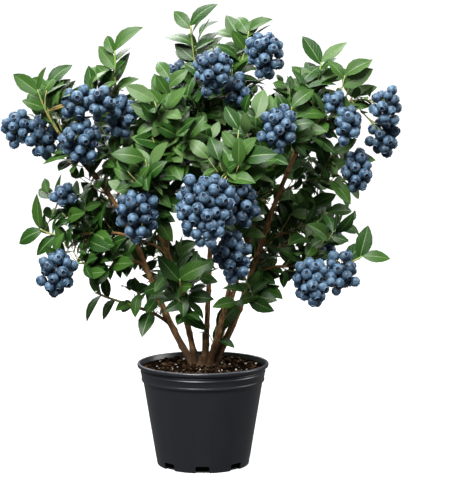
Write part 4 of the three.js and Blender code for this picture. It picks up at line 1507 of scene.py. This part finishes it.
class BUSH_OT_bark(bpy.types.Operator):
    """Grow the bark of the stool, the stems and the boughs"""

    bl_idname = "bush.bark"
    bl_label = "Stems and boughs"

    def execute(self, context):
        settings = context.scene.bush
        bush = bush_for(settings)
        heap = Heap()
        shape, points = stool_points(STEMS.values())
        heap.add(shape, points, uvs=shape.uvs * (4, 20))
        for i, limb in enumerate(bush.stems.values()):
            rings = int(limb.length / RING_EVERY)
            heap.add_limb(limb, STEM_SIDES, rings, bark_relief(settings.bark, i + 1, flare=1.3))
        heap.add_limb(old_stub(), STEM_SIDES, 22, bark_relief(settings.bark, 31, flare=1.5))
        for i, limb in enumerate(bush.boughs):
            rings = max(6, int(limb.length / RING_EVERY))
            heap.add_limb(limb, BOUGH_SIDES, rings, bark_relief(settings.bark, i + 41))
        brown = bark("bark_brown", settings.bark.colour, settings.bark.pale)
        piece = heap.piece("stems_and_boughs", [brown])
        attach(piece, "root")
        limbs = [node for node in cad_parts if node.startswith(("stem_", "bough_"))]
        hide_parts("stool", *limbs)
        return {"FINISHED"}


# ---- Twigs, leaves and berries -----------------------------------------------------

MASSES = [f"spray_{spray.name}" for spray in SPRAYS]
WOODY_RADIUS = 1.3  # twigs that are thicker at their foot are woody there
SPINE_SIDES = 9
SPINE_RING_EVERY = 4
TWIG_SIDES = 5
STALK_SIDES = 4


class BUSH_OT_twigs(bpy.types.Operator):
    """Grow each spray's spine and twigs, woody at the foot and green at the tip"""

    bl_idname = "bush.twigs"
    bl_label = "Twigs"

    def execute(self, context):
        settings = context.scene.bush
        bush = bush_for(settings)
        heap = Heap()
        for i, limb in enumerate(bush.spines):
            rings = max(8, int(limb.length / SPINE_RING_EVERY))
            relief = bark_relief(settings.bark, i + 101)
            heap.add_limb(limb, SPINE_SIDES, rings, relief, green_from=0.55)
        for limb in bush.twigs:
            green_from = 0.45 if limb.foot > WOODY_RADIUS else 0.0
            heap.add_limb(limb, TWIG_SIDES, 4, green_from=green_from)
        woody = bark("bark_young", (0.211, 0.11, 0.0417), (0.294, 0.232, 0.0853))
        green = shoot("shoot_green", (0.192, 0.294, 0.0637), (0.339, 0.255, 0.0833))
        piece = heap.piece("twigs", [woody, green])
        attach(piece, "root")
        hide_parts(*MASSES)
        return {"FINISHED"}


LEAF_ROWS = np.array((-0.08, 0.0, 0.12, 0.29, 0.49, 0.69, 0.87, 1.0))
LEAF_COLUMNS = np.array((-1.0, -0.52, -0.07, 0.07, 0.52, 1.0))
UNDER_COLUMNS = np.array((-1.0, 0.0, 1.0))
LEAF_SLOTS = {"dark": 0, "middle": 1, "light": 2, "young": 3, "rib": 4, "under": 5}
TINT_SHARES = (0.62, 0.88)  # up to which a spray's leaves have its first and its second tint
LEAF_FORMS = (  # how much each folds along its rib, arches and twists
    (0.3, 0.06, 0.0), (0.42, 0.2, 0.25), (0.2, 0.3, -0.2), (0.6, 0.12, 0.1), (0.36, -0.1, -0.3),
)
STALK_WIDTH = 0.035
BLADE_THICK = 0.012
BLADE_DOME = 0.22


def leaf_width(row):
    """Half a blade's width along it, as a share of its greatest: a pointed oval on a thin stalk."""
    oval = np.sin(math.pi * np.clip(row, 0, 1) ** 0.9) ** 0.85
    return np.where(row >= 1, 0.0, np.maximum(oval, STALK_WIDTH))


def laid_out(verts, columns, rows):
    """Each grid vertex with its place across the blade and along it."""
    for vert in verts:
        column = columns[round((vert.co.x + 1) / 2 * (len(columns) - 1))]
        row = rows[round((vert.co.y + 1) / 2 * (len(rows) - 1))]
        yield vert, float(column), float(row)


def leaf_shape(form, ratio):
    """A blade one long, closed, with a paler underside and a rib, folded, arched and twisted."""
    fold, arch, twist = form
    bm = bmesh.new()
    layer = bm.loops.layers.uv.new("UVMap")
    across = {}
    for columns, thick in ((LEAF_COLUMNS, 0), (UNDER_COLUMNS, BLADE_THICK)):
        grid = bmesh.ops.create_grid(bm, x_segments=len(columns) - 1,
                                     y_segments=len(LEAF_ROWS) - 1, size=1)
        faces = {face for vert in grid["verts"] for face in vert.link_faces}
        for face in faces:
            middle = abs(face.calc_center_median().x) < 0.1
            face.material_index = LEAF_SLOTS["rib" if middle else "middle"]
            if thick:
                face.material_index = LEAF_SLOTS["under"]
        if thick:
            bmesh.ops.reverse_faces(bm, faces=list(faces))
        for vert, column, row in laid_out(grid["verts"], columns, LEAF_ROWS):
            half = float(leaf_width(row)) * ratio / 2
            x = column * half
            dome = (1 - column * column) * half * BLADE_DOME
            z = abs(x) * fold + dome - thick * (1 - abs(column)) - arch * max(row, 0) ** 2
            y = row - abs(arch) * 0.35 * max(row, 0) ** 2
            turn = twist * row
            vert.co = (x * math.cos(turn) - z * math.sin(turn) * 0.3, y, z + x * math.sin(turn))
            across[vert] = (column / 2 + 0.5, row)
    for face in bm.faces:
        for loop in face.loops:
            loop[layer].uv = across[loop.vert]
    bmesh.ops.remove_doubles(bm, verts=bm.verts, dist=2e-4)
    return shape_from(bm)


def leaf_tint(leaf):
    """The slot of a leaf's tint. Most leaves of a spray share one. Low sprays take the dark and middle
    tints, their young leaves too, as painted shade under the crown.
    """
    low = SPRAYS[leaf.spray - 1].tip[2] < LOW_SPRAY
    if leaf.young:
        return LEAF_SLOTS["middle" if low else "young"]
    order = (("middle", "dark", "light"), ("dark", "middle", "light"), ("middle", "light", "dark"))
    first, second, third = ("dark", "middle", "dark") if low else order[leaf.spray % 3]
    if leaf.seed < TINT_SHARES[0]:
        return LEAF_SLOTS[first]
    return LEAF_SLOTS[second if leaf.seed < TINT_SHARES[1] else third]


class BUSH_OT_leaves(bpy.types.Operator):
    """Set the leaves on the twigs"""

    bl_idname = "bush.leaves"
    bl_label = "Leaves"

    def execute(self, context):
        settings = context.scene.bush
        look = settings.leaf
        bush = bush_for(settings)
        shapes = [leaf_shape(form, look.width / look.length) for form in LEAF_FORMS]
        materials = [
            leaf_blade("leaf_dark", look.dark),
            leaf_blade("leaf_middle", look.middle),
            leaf_blade("leaf_light", look.light),
            leaf_blade("leaf_young", look.young),
            grained("leaf_rib", (0.085, 0.155, 0.042), 0.5),
            grained("leaf_under", look.under, 0.65, 0.2),
        ]
        heaps = {"leaves_front": Heap(), "leaves_back": Heap()}
        for leaf in bush.leaves:
            shape = shapes[int(leaf.seed * 997) % len(shapes)]
            points = leaf.root + shape.points * leaf.length @ leaf_axes(leaf)
            tint = leaf_tint(leaf)
            slots = np.where(shape.slots == LEAF_SLOTS["middle"], tint, shape.slots)
            half = "leaves_front" if leaf.root[1] < 0 else "leaves_back"
            heaps[half].add(shape, points, slots=slots)
        for name, heap in heaps.items():
            piece = heap.piece(name, materials, sharp=70)
            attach(piece, "root")
            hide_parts(*MASSES)
        return {"FINISHED"}


BERRY_SIDES = 12
CALYX_LOBES = 5
RACEME_BERRIES = 8
FRONT_DUSKY = 0.16  # the share of a truss's berries that are dusky, in front and behind; the share behind is mostly painted shade
SHADED_BACK_DUSKY = 0.7
BERRY_SLOTS = {"skin": 0, "skin_dusky": 1, "calyx": 2, "cup": 3, "skin_shade_core": 4}


def berry_shape(flatness):
    """A berry of radius 1 with its calyx, a lobed collar round a cup, towards +Z."""
    bm = bmesh.new()
    bmesh.ops.create_uvsphere(bm, u_segments=BERRY_SIDES, v_segments=7, radius=1)
    bmesh.ops.scale(bm, vec=(1, 1, flatness), verts=bm.verts)
    crown = [face for face in bm.faces if face.calc_center_median().z > 0.8 * flatness]
    for slot, thickness, depth in (("calyx", 0.0, 0.1), ("calyx", 0.07, 0.0), ("cup", 0.05, -0.2)):
        made = bmesh.ops.inset_region(bm, faces=crown, thickness=thickness, depth=depth,
                                      use_even_offset=True)
        for face in made["faces"]:
            face.material_index = BERRY_SLOTS[slot]
    for face in crown:
        face.material_index = BERRY_SLOTS["cup"]
    collar = [face for face in bm.faces if face.material_index == BERRY_SLOTS["calyx"]]
    for vert in {vert for face in collar for vert in face.verts}:
        if vert.co.z > flatness * 0.93:
            wave = math.cos(CALYX_LOBES * math.atan2(vert.co.y, vert.co.x))
            vert.co.z += 0.045 * wave
            vert.co.x *= 1 + 0.1 * wave
            vert.co.y *= 1 + 0.1 * wave
    return shape_from(bm)


def core_shape():
    """A plain berry, for where only its side shows."""
    bm = bmesh.new()
    bmesh.ops.create_uvsphere(bm, u_segments=8, v_segments=5, radius=1)
    return shape_from(bm)


def berry_axes(axis, random):
    """A berry's own directions, its last one along an axis, at a random turn about it."""
    side = radial(axis, random() * FULL_TURN)
    return np.array((side, np.cross(axis, side), axis))


def stalks_of(truss, places, axes, radii, random):
    """A truss's stalks: racemes from the spine into it, and a short stalk to every berry."""
    out = places - truss.centre
    order = np.argsort(np.arctan2(out[:, 1], out[:, 0]))
    stalks = []
    for group in np.array_split(order, max(1, round(truss.berries / RACEME_BERRIES))):
        inside = places[group].mean(0) * 0.45 + truss.centre * 0.55
        top = (truss.start + inside) / 2 + UP * 7 + radial(UP, random() * FULL_TURN) * 3
        raceme = Limb(Bezier(truss.start, top, inside), 0.8, 0.6)
        stalks.append(raceme)
        for j, berry in enumerate(group):
            root = raceme.curve.at(0.45 + 0.55 * (j + 0.5) / len(group))
            end = places[berry] - axes[berry] * radii[berry] * 0.84
            near = end - axes[berry] * radii[berry] * 0.45
            stalks.append(Limb(Bezier(root, (root + near) / 2 + UP * 1.5, near, end), 0.5, 0.55))
    return stalks


class BUSH_OT_berries(bpy.types.Operator):
    """Hang the trusses of berries on their stalks"""

    bl_idname = "bush.berries"
    bl_label = "Berries"

    def execute(self, context):
        settings = context.scene.bush
        look = settings.berry
        bush = bush_for(settings)
        shape = berry_shape(look.flatness)
        core = core_shape()
        random = Seeded(907)
        berries, stalks = Heap(), Heap()
        first = 0
        for skeleton in bush.skeletons:
            for truss in skeleton.trusses:
                own = slice(first, first + truss.berries)
                first += truss.berries
                places, radii = bush.berries[own], bush.radii[own]
                drift = np.array([random.drift() for _ in places])
                axes = unit(unit(places - truss.centre) - UP * 0.3 + drift * 0.7)
                # Behind the front most berries take the dusky skin, as painted shade; in front a few do at
                # random.
                dusky = SHADED_BACK_DUSKY if truss.centre[1] > BEHIND else FRONT_DUSKY
                for place, radius, axis in zip(places, radii, axes):
                    points = place + shape.points * radius @ berry_axes(axis, random)
                    skin = BERRY_SLOTS["skin_dusky" if random() < dusky else "skin"]
                    slots = np.where(shape.slots == BERRY_SLOTS["skin"], skin, shape.slots)
                    berries.add(shape, points, slots=slots)
                # The hidden inner berries wear a skin dimmed far down, painted shade in the gaps between the
                # outer berries.
                for place, radius in zip(*core_berries(truss)):
                    points = place + core.points * radius @ berry_axes(UP, random)
                    berries.add(core, points, slots=core.slots + BERRY_SLOTS["skin_shade_core"])
                for stalk in stalks_of(truss, places, axes, radii, random):
                    stalks.add_limb(stalk, STALK_SIDES, 3)
        fruit = berries.piece("berries", [
            berry_skin("berry_skin", look.skin, look.bloom),
            # The dusky skin: darker berries at random in front, and painted shade on the trusses behind.
            berry_skin("berry_skin_dusky", dimmed(look.skin, 0.6), dimmed(look.bloom, 0.62)),
            grained("berry_calyx", (0.118, 0.202, 0.304), 0.6),
            grained("berry_cup", look.cup, 0.8),
            berry_skin("berry_skin_shade_core", dimmed(look.skin, 0.3), dimmed(look.bloom, 0.22)),
        ], sharp=50)
        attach(fruit, "root")
        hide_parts(*MASSES)
        green = shoot("stalk_green", (0.186, 0.265, 0.0588), (0.304, 0.225, 0.0735))
        hold = stalks.piece("berry_stalks", [green])
        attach(hold, "root")
        return {"FINISHED"}


# ---- The stage ---------------------------------------------------------------------

CAMERA_DIP = 5.8  # degrees below level


def area_light(name, place, target, width, watts):
    light = bpy.data.lights.new(name, "AREA")
    light.shape = "DISK"
    light.size = width
    light.energy = watts
    lamp = bpy.data.objects.new(name, light)
    lamp.location = place
    lamp.rotation_euler = (Vector(target) - Vector(place)).to_track_quat("-Z", "Y").to_euler()
    bpy.context.scene.collection.objects.link(lamp)


class BUSH_OT_stage(bpy.types.Operator):
    """Set up the pale floor, the studio lights and the camera"""

    bl_idname = "bush.stage"
    bl_label = "Stage"

    def execute(self, context):
        outline = rounded([(0, 0, 0), (4300, 0, 900), (4600, 2600, 0)])
        paper = Paint("studio_paper").finish(
            base_color=(0.28, 0.28, 0.28),
            roughness=0.9,
            specular_ior_level=0.1,
            emission_color=(1, 1, 1),
            emission_strength=0.84,
        )
        floor = finished(spun(outline, steps=64), "studio_floor", [paper])
        floor.visible_diffuse = False  # the lamps and the world light the bush, not the paper
        floor.visible_glossy = False

        camera = bpy.data.cameras.new("camera")
        camera.lens = 119.8
        camera.sensor_width = 36
        eye = bpy.data.objects.new("camera", camera)
        eye.location = (0.0357, -2.4, 0.585)
        eye.rotation_euler = (math.radians(90 - CAMERA_DIP), 0, 0)
        context.scene.collection.objects.link(eye)
        context.scene.camera = eye

        middle = (0, 0, 0.4)
        area_light("key", (-0.8, -2.05, 2.7), middle, width=2.0, watts=312)
        area_light("fill", (2.6, 0.2, 1.6), middle, width=1.8, watts=64)
        area_light("back", (-0.9, 1.9, 2.8), middle, width=2.6, watts=172)
        world = bpy.data.worlds.new("studio")
        world.use_nodes = True
        sky = world.node_tree.nodes["Background"].inputs
        sky["Color"].default_value = (1, 1, 1, 1)
        sky["Strength"].default_value = 0.19
        context.scene.world = world
        context.scene.view_settings.view_transform = "Standard"
        return {"FINISHED"}


class BUSH_PT_panel(bpy.types.Panel):
    """Lists the pieces of the bush, with their settings"""

    bl_idname = "BUSH_PT_panel"
    bl_label = "Blueberry bush"
    bl_space_type = "VIEW_3D"
    bl_region_type = "UI"
    bl_category = "Bush"

    def draw(self, context):
        for operator, group in PARTS:
            box = self.layout.box()
            box.operator(operator.bl_idname, text=operator.bl_label)
            if group:
                settings = getattr(context.scene.bush, group)
                for name in settings.bl_rna.properties.keys():
                    if name not in ("rna_type", "name"):
                        box.prop(settings, name)


PARTS = [  # in the order that they run in, each with its group of settings
    (BUSH_OT_pot, "pot"),
    (BUSH_OT_compost, "compost"),
    (BUSH_OT_bark, "bark"),
    (BUSH_OT_twigs, None),
    (BUSH_OT_leaves, "leaf"),
    (BUSH_OT_berries, "berry"),
    (BUSH_OT_stage, None),
]
SETTINGS = (
    BushPotSettings, BushCompostSettings, BushBarkSettings, BushLeafSettings, BushBerrySettings,
    BushSettings,
)


def register():
    for group in SETTINGS:
        bpy.utils.register_class(group)
    bpy.types.Scene.bush = PointerProperty(type=BushSettings)
    for operator, _ in PARTS:
        bpy.utils.register_class(operator)
    bpy.utils.register_class(BUSH_PT_panel)


def unregister():
    bpy.utils.unregister_class(BUSH_PT_panel)
    for operator, _ in reversed(PARTS):
        bpy.utils.unregister_class(operator)
    del bpy.types.Scene.bush
    for group in reversed(SETTINGS):
        bpy.utils.unregister_class(group)


def main():
    """Makes every piece."""
    register()
    for operator, _ in PARTS:
        family, name = operator.bl_idname.split(".")
        getattr(getattr(bpy.ops, family), name)()


if __name__ == "__main__":
    main()
